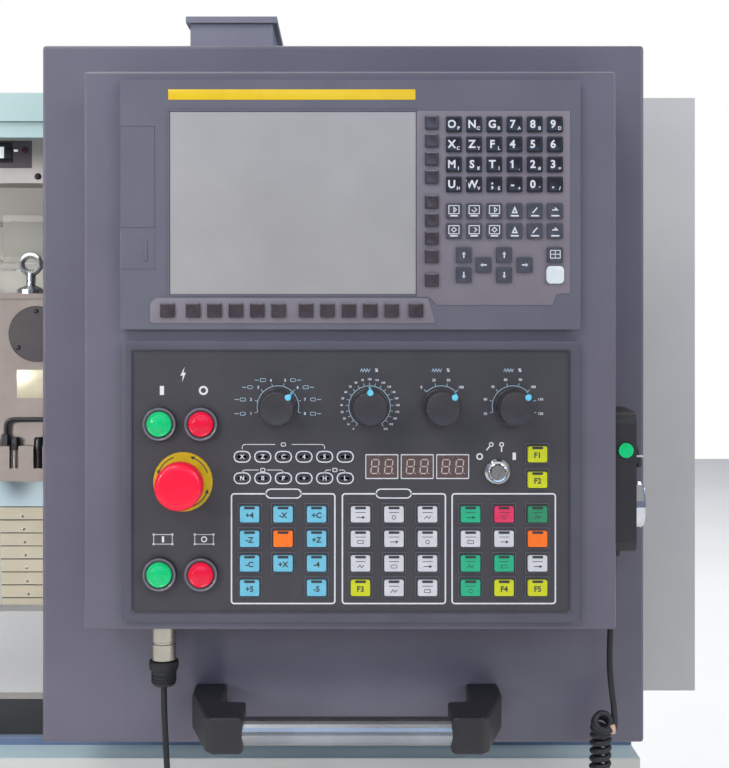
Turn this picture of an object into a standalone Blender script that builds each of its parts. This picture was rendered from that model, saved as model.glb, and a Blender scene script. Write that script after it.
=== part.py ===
"""A CNC turning lathe with a swivelling operator pendant.

Metres, X to the right along the spindle, Y to the back, Z up. The origin is on the floor, under the
middle of the machine. Each piece is one closed solid. Pieces that touch keep a small gap, and pieces
that move have their origin on their axis.
"""

import math

import bmesh
import bpy
from mathutils import Matrix, Vector

GAP = 0.0003
OVERRUN = 0.004
WELD = 0.00003
SLIDE_GAP = 0.0008
ROUND_SIDES = 32
BAR_SIDES = 24
SMALL_SIDES = 20
STUD_SIDES = 16
BOLT_SIDES = 12
HEX_SIDES = 6
CURVE_STEPS = 24

# Overall machine
HALF_LENGTH = 1.345
END_OVERHANG = 0.111
BASE_RIGHT = HALF_LENGTH - END_OVERHANG
BASE_FRONT = -0.65
MACHINE_REAR = 0.60
ROOF_TOP = 1.603
BOX_DROP = 0.006
CONSOLE_DROP = 0.0393
CONSOLE_HEIGHT = 0.483
CONSOLE_LIFT = 0.1267
BOX_LIFT = 0.054
BASE_TOP = ROOF_TOP - BOX_DROP - CONSOLE_DROP - CONSOLE_HEIGHT - CONSOLE_LIFT - BOX_LIFT
GUARD_FRONT = -0.45
GUARD_SHEET = 0.02
ROOF_SHEET = 0.033
CEILING = ROOF_TOP - ROOF_SHEET
END_HOUSING = 0.245
LEFT_COVER_SHARE = 0.7992565
WORK_LEFT = HALF_LENGTH * LEFT_COVER_SHARE - HALF_LENGTH
WORK_RIGHT = HALF_LENGTH - END_HOUSING

# Base casting
FOOT_RADIUS = 0.055
FOOT_HEIGHT = 0.05
FOOT_INSET = 0.14
FOOT_COUNT = 3
KICK_HEIGHT = 0.16
KICK_DEPTH = 0.05
LEDGE_DEPTH = 0.039
LIP_DEPTH = 0.008
LIP_HEIGHT = 0.008
MAT_HEIGHT = 0.005
TROUGH_FRONT = -0.425
TROUGH_REAR = 0.344
CHUTE_REAR = -0.11
CHUTE_DEPTH = 0.14
BED_DROP = 0.194
BED_TOP = BASE_TOP - BED_DROP
RAIL_WIDTH = 0.03
RAIL_HEIGHT = 0.022
TAIL_RAILS = (-0.045, 0.075)
SADDLE_RAILS = (0.19, 0.305)
FRONT_PANEL_SHARES = ((0.05, 0.30), (0.33, 0.62), (0.65, 0.95))
FRONT_PANEL_MARGIN = 0.10
FRONT_PANEL_PROUD = 0.003

# Sheet covers
SILL_HEIGHT = 0.101
SILL_TOP = BASE_TOP + SILL_HEIGHT
SILL_RIM = 0.012
END_COVER_LIFT = 0.008
END_COVER_BOTTOM = BASE_TOP + END_COVER_LIFT
END_COVER_DROP = 0.006
END_COVER_TOP = ROOF_TOP - END_COVER_DROP
HEADER_HEIGHT = 0.0524
HEADER_BOTTOM = ROOF_TOP - HEADER_HEIGHT
HEADER_SHEET = 0.02
TRACK_DROP = 0.032
TRACK_Z = ROOF_TOP - TRACK_DROP
TRACK_WIDTH = 0.004
TRACK_REACH = 0.006
COVER_ROUND = 0.012
WALL_FRONT = 0.35
FOLD_DEPTH = 0.02
FOLD_SHARES = (0.1036, 0.2027, 0.5473, 0.8136)
FOLD_RISE = 0.008
VENT_COUNT = 7
VENT_PITCH = 0.028
VENT_HEIGHT = 0.008
VENT_LENGTH = 0.26
VENT_DEPTH = 0.004
VENT_MARGIN = 0.09

# Work lamp behind the header
LAMP_INSET = (0.15, 0.08)
LAMP_FRONT = -0.33
LAMP_DEPTH = 0.07
LAMP_HEIGHT = 0.062
LAMP_GLASS_INSET = (0.06, 0.0614)
LAMP_GLASS_DROP = (0.043, 0.008)
LAMP_GLASS_DEPTH = 0.004

# Sliding door
DOOR_OVERLAP = 0.015
DOOR_END = 0.08
DOOR_WIDTH = WORK_LEFT + HALF_LENGTH - DOOR_OVERLAP - DOOR_END
DOORWAY_RIGHT = WORK_LEFT + DOOR_WIDTH - 2 * DOOR_OVERLAP
DOOR_LIFT = 0.014
DOOR_LOW = BASE_TOP + DOOR_LIFT
DOOR_DROP = 0.011
DOOR_HIGH = ROOF_TOP - DOOR_DROP
DOOR_SHEET = 0.026
DOOR_ROUND = 0.003
TRACK_CLEARANCE = 0.0009
WINDOW_WIDTH_SHARE = 0.571429
WINDOW_MARGIN_LOW = 0.162
WINDOW_MARGIN_HIGH = 0.122
WINDOW_SEAT = 0.016
WINDOW_SHEET = 0.008
WINDOW_ROUND = 0.03
WINDOW_SHIFT = -0.06
DOOR_HANDLE_INSET = 0.07
DOOR_HANDLE_LENGTH = 0.32
DOOR_HANDLE_BAR = 0.022
DOOR_HANDLE_REACH = 0.042

# Spindle, chuck and headstock
SPINDLE_Y = 0.02
SPINDLE_RISE = 0.083
SPINDLE_Z = BASE_TOP + SPINDLE_RISE
NOSE_FLANGE_RADIUS = 0.14
NOSE_FLANGE = 0.026
NOSE_RADIUS = 0.115
NOSE_LENGTH = 0.044
NOSE_BORE = 0.052
NOSE_BORE_DEPTH = 0.062
SPINDLE_RADIUS = 0.0515
SPINDLE_FLANGE_RADIUS = 0.085
SPINDLE_FLANGE = 0.015
SPINDLE_BORE = 0.026
CHUCK_RADIUS = 0.105
CHUCK_LENGTH = 0.095
CHUCK_CHAMFER = 0.006
JAW_COUNT = 3
JAW_WIDTH = 0.032
JAW_SLOT_DEPTH = 0.012
JAW_INNER = 0.038
JAW_STEPS = ((0.057, 0.036), (0.076, 0.024), (0.094, 0.012))
JAW_SLOT_INNER = 0.020
TEE_WIDTH = 0.020
TEE_DEPTH = 0.010

# Saddle, cross slide and way cover
CARRIAGE_INSET = 0.045
CARRIAGE_LENGTH = 0.25
CARRIAGE_RIGHT = DOORWAY_RIGHT - CARRIAGE_INSET
CARRIAGE_LEFT = CARRIAGE_RIGHT - CARRIAGE_LENGTH
SADDLE_HEIGHT = 0.10
SADDLE_FRONT = 0.148
COLUMN_FRONT = 0.159
COLUMN_DROP = 0.07
COLUMN_TOP = CEILING - COLUMN_DROP
SADDLE_REAR = 0.338
COVER_OVERHANG = (0.013, 0.020)
COVER_LEFT = CARRIAGE_LEFT - COVER_OVERHANG[0]
COVER_RIGHT = CARRIAGE_RIGHT + COVER_OVERHANG[1]
PLATE_COUNT = 7
PLATE_SHEET = 0.0016
PLATE_STEP = 0.0022
PLATE_HEIGHT = 0.040
PLATE_PITCH = 0.0217
APRON_RISE = 0.129
SLIDE_APRON_BOTTOM = BASE_TOP + APRON_RISE
APRON_OVERLAP = 0.039
SLIDE_BOTTOM = SLIDE_APRON_BOTTOM + APRON_OVERLAP
SLIDE_DROP = 0.08
SLIDE_TOP = COLUMN_TOP - SLIDE_DROP
SLIDE_INSET = 0.015
HOUSING_REAR = 0.138

# Turret
TURRET_LEFT = COVER_LEFT
TURRET_LENGTH = 0.228
TURRET_FRONT = -0.10
TURRET_LIFT = 0.056
TURRET_LOW = SLIDE_BOTTOM + TURRET_LIFT
TURRET_HEIGHT = 0.2435
TURRET_HIGH = TURRET_LOW + TURRET_HEIGHT
TURRET_CAP = 0.008
TURRET_CAP_PROUD = 0.004
TURRET_FLANGE = 0.0184
TURRET_FLANGE_PROUD = 0.014
TURRET_ROUND = 0.014
ACCESS_OUT = 0.118
ACCESS_DROP = 0.0505
ACCESS_RADIUS = 0.040
ACCESS_PROUD = 0.003
LUG_WIDTH = 0.0216
LUG_HEIGHT = 0.032
LUG_PITCH = 0.0345
LUG_OUT = 0.0365
LUG_COUNT = 5
LUG_BOLT_RADIUS = 0.005
LUG_BOLT_HEIGHT = 0.042
DISC_RISE = 0.126
DISC_AXIS_Z = TURRET_LOW + DISC_RISE
DISC_RADIUS = 0.13
DISC_GAP = 0.006
DISC_THICKNESS = 0.081
DISC_RIGHT = TURRET_LEFT - DISC_GAP
DISC_LEFT = DISC_RIGHT - DISC_THICKNESS
DISC_FACES = 12
DISC_HUB_RADIUS = 0.06
DISC_HUB_LENGTH = 0.012
TOOL_WIDTH = 0.020
TOOL_LENGTH = 0.060
TOOL_REACH = 0.168
TOOL_INSET = 0.012
TOOL_HOLDER = 0.030
HOLDER_INSET = 0.006
HOLDER_REACH = 0.140
EYE_OUT = 0.0987
EYE_Y = -0.055
EYE_RISE = 0.0515
EYE_RING = 0.0135
EYE_WIRE = 0.0045
EYE_COLLAR = 0.020
EYE_NECK = 0.007
EYE_COLLAR_HEIGHT = 0.006
EYE_SECTION = 8
PIPE_RADIUS = 0.0032
PIPE_BEND = 0.010
PIPE_OUT = 0.075
PIPE_SPAN = 0.063
PIPE_RISE = 0.070
PIPE_SIDES = 10
PIPE_FITTING_RADIUS = 0.0062
PIPE_FITTING_HEIGHT = 0.016

# Tailstock
TAIL_INSET = 0.04
TAIL_LENGTH = 0.198
TAIL_RIGHT = WORK_RIGHT - TAIL_INSET
TAIL_LEFT = TAIL_RIGHT - TAIL_LENGTH
TAIL_FRONT = -0.082
TAIL_REAR = 0.112
TAIL_FOOT_HEIGHT = 0.05
TAIL_HEAD_RADIUS = 0.068
TAIL_WAIST = 0.055
TAIL_STEPS = 14
QUILL_RADIUS = 0.030
QUILL_BORE = 0.0302
QUILL_BORE_DEPTH = 0.150
QUILL_OUT = 0.050
CENTRE_RADIUS = 0.018
CENTRE_LENGTH = 0.056
CENTRE_CONE = 0.028

# Electrical cabinet at the rear
CABINET_HALF_SHARE = 0.408922
CABINET_LEFT = -HALF_LENGTH * CABINET_HALF_SHARE
CABINET_RIGHT = HALF_LENGTH * CABINET_HALF_SHARE
CABINET_LOW = 0.24
CABINET_DROP = 0.063
CABINET_HIGH = ROOF_TOP - CABINET_DROP
CABINET_WALL = 0.012
CABINET_REAR = 0.864
CABINET_DOOR_REAR = 0.886
CABINET_HANDLE_WIDTH = 0.03
CABINET_HANDLE_HEIGHT = 0.14
CABINET_HANDLE_INSET = 0.05
CABINET_HANDLE_DEPTH = 0.008

# Pendant: arm, back box and hinged console box
BOX_INSET = 0.022
BOX_WIDTH = 0.56
BOX_RIGHT = BASE_RIGHT - BOX_INSET
BOX_LEFT = BOX_RIGHT - BOX_WIDTH
BOX_HIGH = ROOF_TOP - BOX_DROP
BOX_LOW = BASE_TOP + BOX_LIFT
SWIVEL_OUT = 0.172
SWIVEL_X = BOX_LEFT + SWIVEL_OUT
SWIVEL_Y = -0.66
SWIVEL_RADIUS = 0.032
ARM_WIDTH = 0.080
ARM_FLANGE = 0.004
ARM_FLANGE_HEIGHT = 0.006
ARM_HEIGHT = 0.031
ARM_TOP = ROOF_TOP + ARM_HEIGHT
ARM_FRONT = -0.71
ARM_REAR = -0.12
ARM_PAD = 0.18
ARM_PAD_WIDTH = 0.16
ARM_PAD_HEIGHT = 0.010
BOX_FRONT = -0.76
BOX_REAR = -0.63
BOX_WALL = 0.004
BOX_ROUND = 0.006
BOX_MOUTH_MARGIN = 0.016
CONSOLE_OUT = 0.286
CONSOLE_X = BOX_LEFT + CONSOLE_OUT
CONSOLE_WIDTH = 0.4605
CONSOLE_Z = BOX_HIGH - CONSOLE_DROP - CONSOLE_HEIGHT / 2
CONSOLE_FACE = -0.843
CONSOLE_WALL = 0.003
CONSOLE_ROUND = 0.004
CONSOLE_SEAM = 0.0006
HINGE_RADIUS = 0.004
HINGE_OUT = 0.0048
HINGE_LENGTH = 0.046
HINGE_INSET = 0.055
LATCH_WIDTH = 0.004
LATCH_HEIGHT = 0.018
LATCH_DEPTH = 0.014
LATCH_ABOVE = 0.0033

# Display unit
DISPLAY_WIDTH = 0.396
DISPLAY_LOW = 0.0185
DISPLAY_HIGH = 0.2333
PANEL_SHEET = 0.0067
DISPLAY_ROUND = 0.003
SCREEN_LEFT = -0.1554
SCREEN_RIGHT = 0.0567
SCREEN_LOW = 0.0486
SCREEN_HIGH = 0.2060
SCREEN_SINK = 0.0024
SCREEN_SHEET = 0.0018
KEY_RISE = 0.0024
KEY_ZONE = (0.0571, 0.1889, 0.0395, 0.2066)
KEY_ZONE_SHARES = (
    (0.0, 0.042),
    (0.08, 0.042),
    (0.129, 0.0),
    (0.883, 0.0),
    (0.913, 0.059),
    (1.0, 0.059),
    (1.0, 1.0),
    (0.0, 1.0),
)
KEY_ZONE_RISE = 0.0005
SOFT_ZONE = (-0.1722, 0.0729, 0.0237, 0.0456)
SOFT_ZONE_SLANT = 0.006
SOFT_KEY = 0.0120
SOFT_ROW_V = 0.0349
SOFT_ROW_ENDS = (-0.1572, 0.0565)
SOFT_ROW_STARTS = (-0.1352, -0.0380)
SOFT_ROW_COUNT = 5
SOFT_ROW_PITCH = 0.0184
SIDE_KEY = 0.0114
SIDE_KEY_U = 0.0699
SIDE_KEY_STARTS = (0.1963, 0.1281)
SIDE_KEY_COUNT = 4
SIDE_KEY_PITCH = 0.0156
SIDE_KEY_LAST = 0.0609
DATA_KEY = 0.0130
DATA_KEY_U = 0.0889
DATA_KEY_PITCH = 0.0174
DATA_KEY_COLUMNS = 6
DATA_KEY_ROWS = 4
DATA_KEY_V = 0.1947
DATA_ROW_PITCH = 0.0172
EDIT_KEY_V = 0.1203
EDIT_KEY_ROWS = 2
CURSOR_U = 0.1321
CURSOR_V = 0.0739
CURSOR_OUT = 0.0177
CURSOR_UP = 0.00855
PAGE_KEY_U = 0.0974
RESET_KEY = 0.0150
CARD_LEFT = -0.198
CARD_RIGHT = -0.168
CARD_LOW = 0.1059
CARD_HIGH = 0.1934
CARD_SINK = 0.0024
CARD_SHEET = 0.0021
PORT_LOW = 0.0701
PORT_HIGH = 0.1023
PORT_SINK = 0.0003

# Operator panel
PANEL_LEFT = -0.1963
PANEL_RIGHT = 0.1974
PANEL_LOW = -0.2337
PANEL_HIGH = 0.0089
PANEL_RIM = 0.0085
PANEL_RIM_RISE = 0.0015
BUTTON_TRAVEL = 0.003
BEZEL_RADIUS = 0.0145
BEZEL_RISE = 0.0055
CAP_RADIUS = 0.0110
CAP_RISE = 0.0085
CAP_DOME = 0.0015
CAP_BORE_DEPTH = 0.0045
CAP_CLEARANCE = 0.0003
BUTTON_U = (-0.1640, -0.1283)
POWER_V = -0.0628
CYCLE_V = -0.1919
ESTOP_U = -0.1440
ESTOP_V = -0.1127
ESTOP_RING = 0.0255
ESTOP_RING_RISE = 0.0016
ESTOP_NECK = 0.0150
ESTOP_NECK_RISE = 0.0120
ESTOP_STEM = 0.0090
ESTOP_HEAD = 0.0200
ESTOP_HEAD_LOW = 0.0165
ESTOP_RISE = 0.0375
ESTOP_DOME = 0.006
ESTOP_TRAVEL = 0.004
KNOB_RADIUS = 0.0165
KNOB_TOP_RADIUS = 0.0152
KNOB_SKIRT = 0.004
KNOB_RISE = 0.025
KNOB_POINTER = 0.0030
KNOB_FLUTES = 8
KNOB_FLUTE_DEPTH = 0.0008
KNOB_U = (-0.0623, 0.0166, 0.0783, 0.1401)
KNOB_V = -0.0480
KNOB_NAMES = ("mode_knob", "feed_knob", "rapid_knob", "spindle_knob")
KNOB_ANGLES = (45.0, 0.0, 45.0, 45.0)
LOCK_U = 0.1268
LOCK_V = -0.1039
LOCK_COLLAR = 0.0098
LOCK_COLLAR_RISE = 0.004
LOCK_BARREL = 0.0062
LOCK_RISE = 0.006
LOCK_SLOT = 0.0016
LOCK_SLOT_LENGTH = 0.0075
LOCK_SLOT_DEPTH = 0.002
MEMBRANE_KEY = (0.0163, 0.0133)
MEMBRANE_U = (-0.0578, 0.03755, 0.13215)
MEMBRANE_V = -0.1405
MEMBRANE_PITCH = (0.0288, 0.0211)
MEMBRANE_COLUMNS = 3
MEMBRANE_ROWS = 4
MEMBRANE_RISE = 0.0025
BLANK_KEY = (0, 3, 1)
FIELD_KEY_U = 0.1609
FIELD_KEY_V = (-0.0889, -0.1109)

# Push handle under the console
HANDLE_LIFT = 0.0400
HANDLE_Z = BOX_LOW + HANDLE_LIFT
HANDLE_HALF = 0.0155
HANDLE_FRONT = -0.861
HANDLE_OUT = 0.2833
HANDLE_CENTRE = BOX_LEFT + HANDLE_OUT
HANDLE_FOOT_OUT = 0.1400
HANDLE_HEAD_OUT = 0.1217
HANDLE_HEAD_IN = 0.0894
HANDLE_FOOT_WIDTH = 0.0288
HANDLE_STRAIGHT = 0.032
HANDLE_HEAD_DEPTH = 0.046
HANDLE_BAR_RADIUS = 0.0120
HANDLE_BAR_Y = -0.846
HANDLE_BAR_SINK = 0.012
HANDLE_ROUND = 0.003

# Hand unit on the side of the console
MPG_LEFT_GAP = 0.0003
MPG_WIDTH = 0.0192
MPG_DROP = 0.1772
MPG_LOW = CONSOLE_Z - MPG_DROP
MPG_HEIGHT = 0.1234
MPG_HIGH = MPG_LOW + MPG_HEIGHT
MPG_FRONT = -0.835
MPG_REAR = -0.768
MPG_ROUND = 0.010
MPG_WHEEL_RISE = 0.038
MPG_WHEEL_Z = MPG_LOW + MPG_WHEEL_RISE
MPG_WHEEL_RADIUS = 0.0215
MPG_WHEEL_WIDTH = 0.011
MPG_WHEEL_CHAMFER = 0.0015
MPG_CRANK_OUT = 0.013
MPG_CRANK_RADIUS = 0.004
MPG_CRANK_LENGTH = 0.003
MPG_SELECTOR_UP = 0.0815
MPG_SELECTOR_RADIUS = 0.009
MPG_SELECTOR_RISE = 0.008
MPG_BUTTON_UP = 0.090
MPG_BUTTON_Z = MPG_LOW + MPG_BUTTON_UP
MPG_BUTTON_RADIUS = 0.0065
MPG_BUTTON_RISE = 0.0025
MPG_BUTTON_TRAVEL = 0.0015
MPG_BUTTON_DEPTH = 0.006

# Cord from the console to the hand unit
SOCKET_OUT = -0.1672
SOCKET_X = CONSOLE_X + SOCKET_OUT
CORD_Y = -0.800
SOCKET_RADIUS = 0.0110
SOCKET_LENGTH = 0.0378
SOCKET_NUT = 0.0125
BOOT_TOP_RADIUS = 0.0132
BOOT_WAIST_RADIUS = 0.0116
BOOT_RADIUS = 0.0078
BOOT_LENGTH = 0.0233
LEAD_RADIUS = 0.00275
CURL_RADIUS = 0.0100
GLAND_RADIUS = 0.006
GLAND_LENGTH = 0.008
GLAND_OUT = 0.2370
CURL_OUT = (0.2180, 0.2256)
CURL_DROP = (0.6662, 0.3467)
CURL_BEND = 0.016
CURL_TURN = 80
CURL_TURN_STEPS = 6
TOP_LEAD_OUT = 0.2388
TOP_LEAD_DROP = 0.3417
LOWER_LEAD_SHARES = (
    (0.0000, 0.0000),
    (-0.0710, 0.0680),
    (-0.2056, 0.2009),
    (-0.3666, 0.3606),
    (-0.5546, 0.5469),
    (-0.7381, 0.7330),
    (-0.9109, 0.9194),
    (-1.0617, 1.1057),
    (-1.1456, 1.2653),
    (-1.1320, 1.3771),
    (-1.0314, 1.4250),
    (-0.8800, 1.4250),
    (-0.6834, 1.3823),
    (-0.4442, 1.2865),
    (-0.2124, 1.1588),
    (-0.0753, 1.0658),
    (0.0000, 1.0000),
)
UPPER_LEAD_SHARES = (
    (0.0000, 0.0000),
    (0.0004, 0.0352),
    (-0.0028, 0.0864),
    (-0.0099, 0.1440),
    (-0.0180, 0.2145),
    (-0.0248, 0.2913),
    (-0.0287, 0.3956),
    (-0.0230, 0.5602),
    (-0.0113, 0.7394),
    (-0.0032, 0.8867),
    (0.0000, 1.0000),
)
LEAD_POINTS = 40
SHORT_LEAD_POINTS = 16
CURL_POINTS = 24

SLATE = ("slate_paint", "626274", 0.42, 0.0)
DARK_SLATE = ("dark_slate_plastic", "54545E", 0.5, 0.0)
PANEL_BLACK = ("panel_black", "47464B", 0.5, 0.0)
CREAM = ("cream_paint", "C9C8C0", 0.45, 0.0)
GREY = ("light_grey_paint", "A9A9AB", 0.5, 0.0)
PALE_GREEN = ("pale_green_paint", "A9C0C0", 0.5, 0.0)
INSIDE = ("inner_grey_paint", "9C9490", 0.6, 0.0)
IRON = ("painted_casting", "9A8C86", 0.6, 0.0)
STEEL = ("machined_steel", "B0B0B2", 0.3, 1.0)
HARD_STEEL = ("ground_steel", "C8C8CC", 0.2, 1.0)
PLATE = ("cover_plate_paint", "CFC7B4", 0.4, 0.0)
BLACK = ("black_plastic", "2E2D31", 0.5, 0.0)
GLASS = ("dark_glass", "2A2E30", 0.1, 0.0)
SCREEN = ("screen_film", "A6A7A7", 0.25, 0.0)
ALUMINIUM = ("brushed_aluminium", "C4C6C8", 0.3, 1.0)
CHROME = ("chrome", "D8DADC", 0.12, 1.0)
RED = ("red_plastic", "E8003C", 0.35, 0.0)
GREEN = ("green_plastic", "00C878", 0.35, 0.0)
RUBBER = ("black_rubber", "1E1E20", 0.7, 0.0)


def linear(level):
    """One channel of an sRGB colour, turned to linear light."""
    knee, slope, lift, power = 0.04045, 12.92, 0.055, 2.4
    return level / slope if level <= knee else ((level + lift) / (1 + lift)) ** power


def finish(look):
    """The material of that look, made once."""
    name, colour, roughness, metallic = look
    made = bpy.data.materials.get(name)
    if made:
        return made
    made = bpy.data.materials.new(name)
    made.use_nodes = True
    shader = made.node_tree.nodes["Principled BSDF"]
    levels = [int(colour[i : i + 2], 16) / 255 for i in (0, 2, 4)]
    shader.inputs["Base Color"].default_value = [linear(v) for v in levels] + [1]
    shader.inputs["Roughness"].default_value = roughness
    shader.inputs["Metallic"].default_value = metallic
    return made


def mesh_of(bm):
    """A mesh with its faces pointing out, from a bmesh."""
    bmesh.ops.recalc_face_normals(bm, faces=bm.faces)
    mesh = bpy.data.meshes.new("shape")
    bm.to_mesh(mesh)
    bm.free()
    return mesh


def prism(outline, axis, low, high):
    """An outline in the two axes after `axis`, in the order X, Y, Z, drawn out along it from low to high."""
    at = "XYZ".index(axis)
    bm = bmesh.new()
    ends = []
    for along in (low, high):
        ring = []
        for a, b in outline:
            point = [a, b]
            point.insert(at, along)
            ring.append(bm.verts.new(point))
        ends.append(ring)
    bm.faces.new(ends[0])
    bm.faces.new(ends[1])
    for i in range(len(outline)):
        j = (i + 1) % len(outline)
        bm.faces.new((ends[0][i], ends[0][j], ends[1][j], ends[1][i]))
    return mesh_of(bm)


def block(x, y, z):
    """A box between two ends on each axis."""
    return prism(((x[0], y[0]), (x[1], y[0]), (x[1], y[1]), (x[0], y[1])), "Z", *z)


def arc(centre, radius, start, turn, steps):
    """Points on an arc, angles in degrees."""
    angles = [math.radians(start + turn * i / steps) for i in range(steps + 1)]
    return [(centre[0] + radius * math.cos(t), centre[1] + radius * math.sin(t)) for t in angles]


def rounded(a, b, radius, steps=4):
    """The outline of a rectangle with round corners, between two ends on each axis."""
    a, b = sorted(a), sorted(b)
    corners = ((a[1], b[1], 0), (a[0], b[1], 90), (a[0], b[0], 180), (a[1], b[0], 270))
    points = []
    for x, y, start in corners:
        inner = (x - math.copysign(radius, x - sum(a) / 2), y - math.copysign(radius, y - sum(b) / 2))
        points += arc(inner, radius, start, 90, steps)
    return points


def rod(axis, centre, radius, low, high, sides=ROUND_SIDES):
    """A round bar along an axis."""
    return prism(arc(centre, radius, 0, 360 * (sides - 1) / sides, sides - 1), axis, low, high)


def turned(axis, centre, profile, sides=ROUND_SIDES):
    """A profile of (place along the axis, radius) points turned about the axis."""
    at = "XYZ".index(axis)
    bm = bmesh.new()
    rings = []
    for along, radius in profile:
        count = sides if radius > 0 else 1
        ring = []
        for i in range(count):
            angle = math.tau * i / sides
            point = [centre[0] + radius * math.cos(angle), centre[1] + radius * math.sin(angle)]
            point.insert(at, along)
            ring.append(bm.verts.new(point))
        rings.append(ring)
    for one, two in zip(rings, rings[1:]):
        for i in range(sides):
            j = (i + 1) % sides
            corners = [one[i % len(one)], one[j % len(one)], two[j % len(two)], two[i % len(two)]]
            bm.faces.new(list(dict.fromkeys(corners)))
    for ring in (rings[0], rings[-1]):
        if len(ring) > 1:
            bm.faces.new(ring)
    return mesh_of(bm)


def softened(mesh, width, segments=2, angle=40.0):
    """The mesh with its sharp edges bevelled."""
    bm = bmesh.new()
    bm.from_mesh(mesh)
    sharp = [e for e in bm.edges if e.calc_face_angle(0) > math.radians(angle)]
    bmesh.ops.bevel(bm, geom=sharp, offset=width, segments=segments, profile=0.5, affect="EDGES")
    return mesh_of(bm)


def moved(mesh, matrix):
    """The mesh after a turn or a shift."""
    mesh.transform(matrix)
    return mesh


def together(meshes):
    """Separate shapes in one mesh."""
    bm = bmesh.new()
    for mesh in meshes:
        bm.from_mesh(mesh)
    return mesh_of(bm)


def solid(name, look, start, add=(), cut=(), pivot=(0, 0, 0), smooth=30.0):
    """A named object with a material: the first shape, with others joined to it and cut from it."""
    made = bpy.data.objects.new(name, start)
    bpy.context.scene.collection.objects.link(made)
    helpers = []
    for operation, meshes in (("UNION", add), ("DIFFERENCE", cut)):
        for mesh in meshes:
            helper = bpy.data.objects.new(name + "_helper", mesh)
            bpy.context.scene.collection.objects.link(helper)
            step = made.modifiers.new("shape", "BOOLEAN")
            step.operation, step.solver, step.object = operation, "EXACT", helper
            helpers.append(helper)
    if helpers:
        graph = bpy.context.evaluated_depsgraph_get()
        made.data = bpy.data.meshes.new_from_object(made.evaluated_get(graph))
        made.modifiers.clear()
        for helper in helpers:
            bpy.data.objects.remove(helper)
    made.data.transform(Matrix.Translation(-Vector(pivot)))
    made.location = pivot
    made.data.name = name
    made.data.materials.clear()
    made.data.materials.append(finish(look))
    made.data.shade_smooth()
    made.data.set_sharp_from_angle(angle=math.radians(smooth))
    return made


def shaped(start, add=(), cut=()):
    """A mesh with others joined to it and others cut from it."""
    made = solid("shaped", CREAM, start, add, cut)
    mesh = made.data
    bpy.data.objects.remove(made)
    return mesh


def centred(middle, length):
    """The two ends of a length about a middle."""
    return middle - length / 2, middle + length / 2


def through(route, count):
    """Points evenly along a smooth curve through the route's points."""
    points = [Vector(p) for p in route]
    ends = [2 * points[0] - points[1]] + points + [2 * points[-1] - points[-2]]
    fine = []
    for i in range(len(points) - 1):
        p0, p1, p2, p3 = ends[i : i + 4]
        for k in range(CURVE_STEPS):
            t = k / CURVE_STEPS
            bend = (2 * p0 - 5 * p1 + 4 * p2 - p3) * t**2 + (3 * p1 - p0 - 3 * p2 + p3) * t**3
            fine.append((2 * p1 + (p2 - p0) * t + bend) / 2)
    fine.append(points[-1])
    far = [0.0]
    for a, b in zip(fine, fine[1:]):
        far.append(far[-1] + (b - a).length)
    out = []
    k = 0
    for i in range(count):
        goal = far[-1] * i / (count - 1)
        while k < len(far) - 2 and far[k + 1] < goal:
            k += 1
        out.append(fine[k].lerp(fine[k + 1], (goal - far[k]) / (far[k + 1] - far[k])))
    return out


def lead(name, look, points, radius, resolution):
    """A cord's tube, as a curve with round section and filled ends."""
    curve = bpy.data.curves.new(name, "CURVE")
    curve.dimensions = "3D"
    curve.bevel_depth = radius
    curve.bevel_resolution = resolution
    curve.use_fill_caps = True
    spline = curve.splines.new("POLY")
    spline.points.add(len(points) - 1)
    for held, point in zip(spline.points, points):
        held.co = (*point, 1)
    curve.materials.append(finish(look))
    made = bpy.data.objects.new(name, curve)
    bpy.context.scene.collection.objects.link(made)


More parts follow.
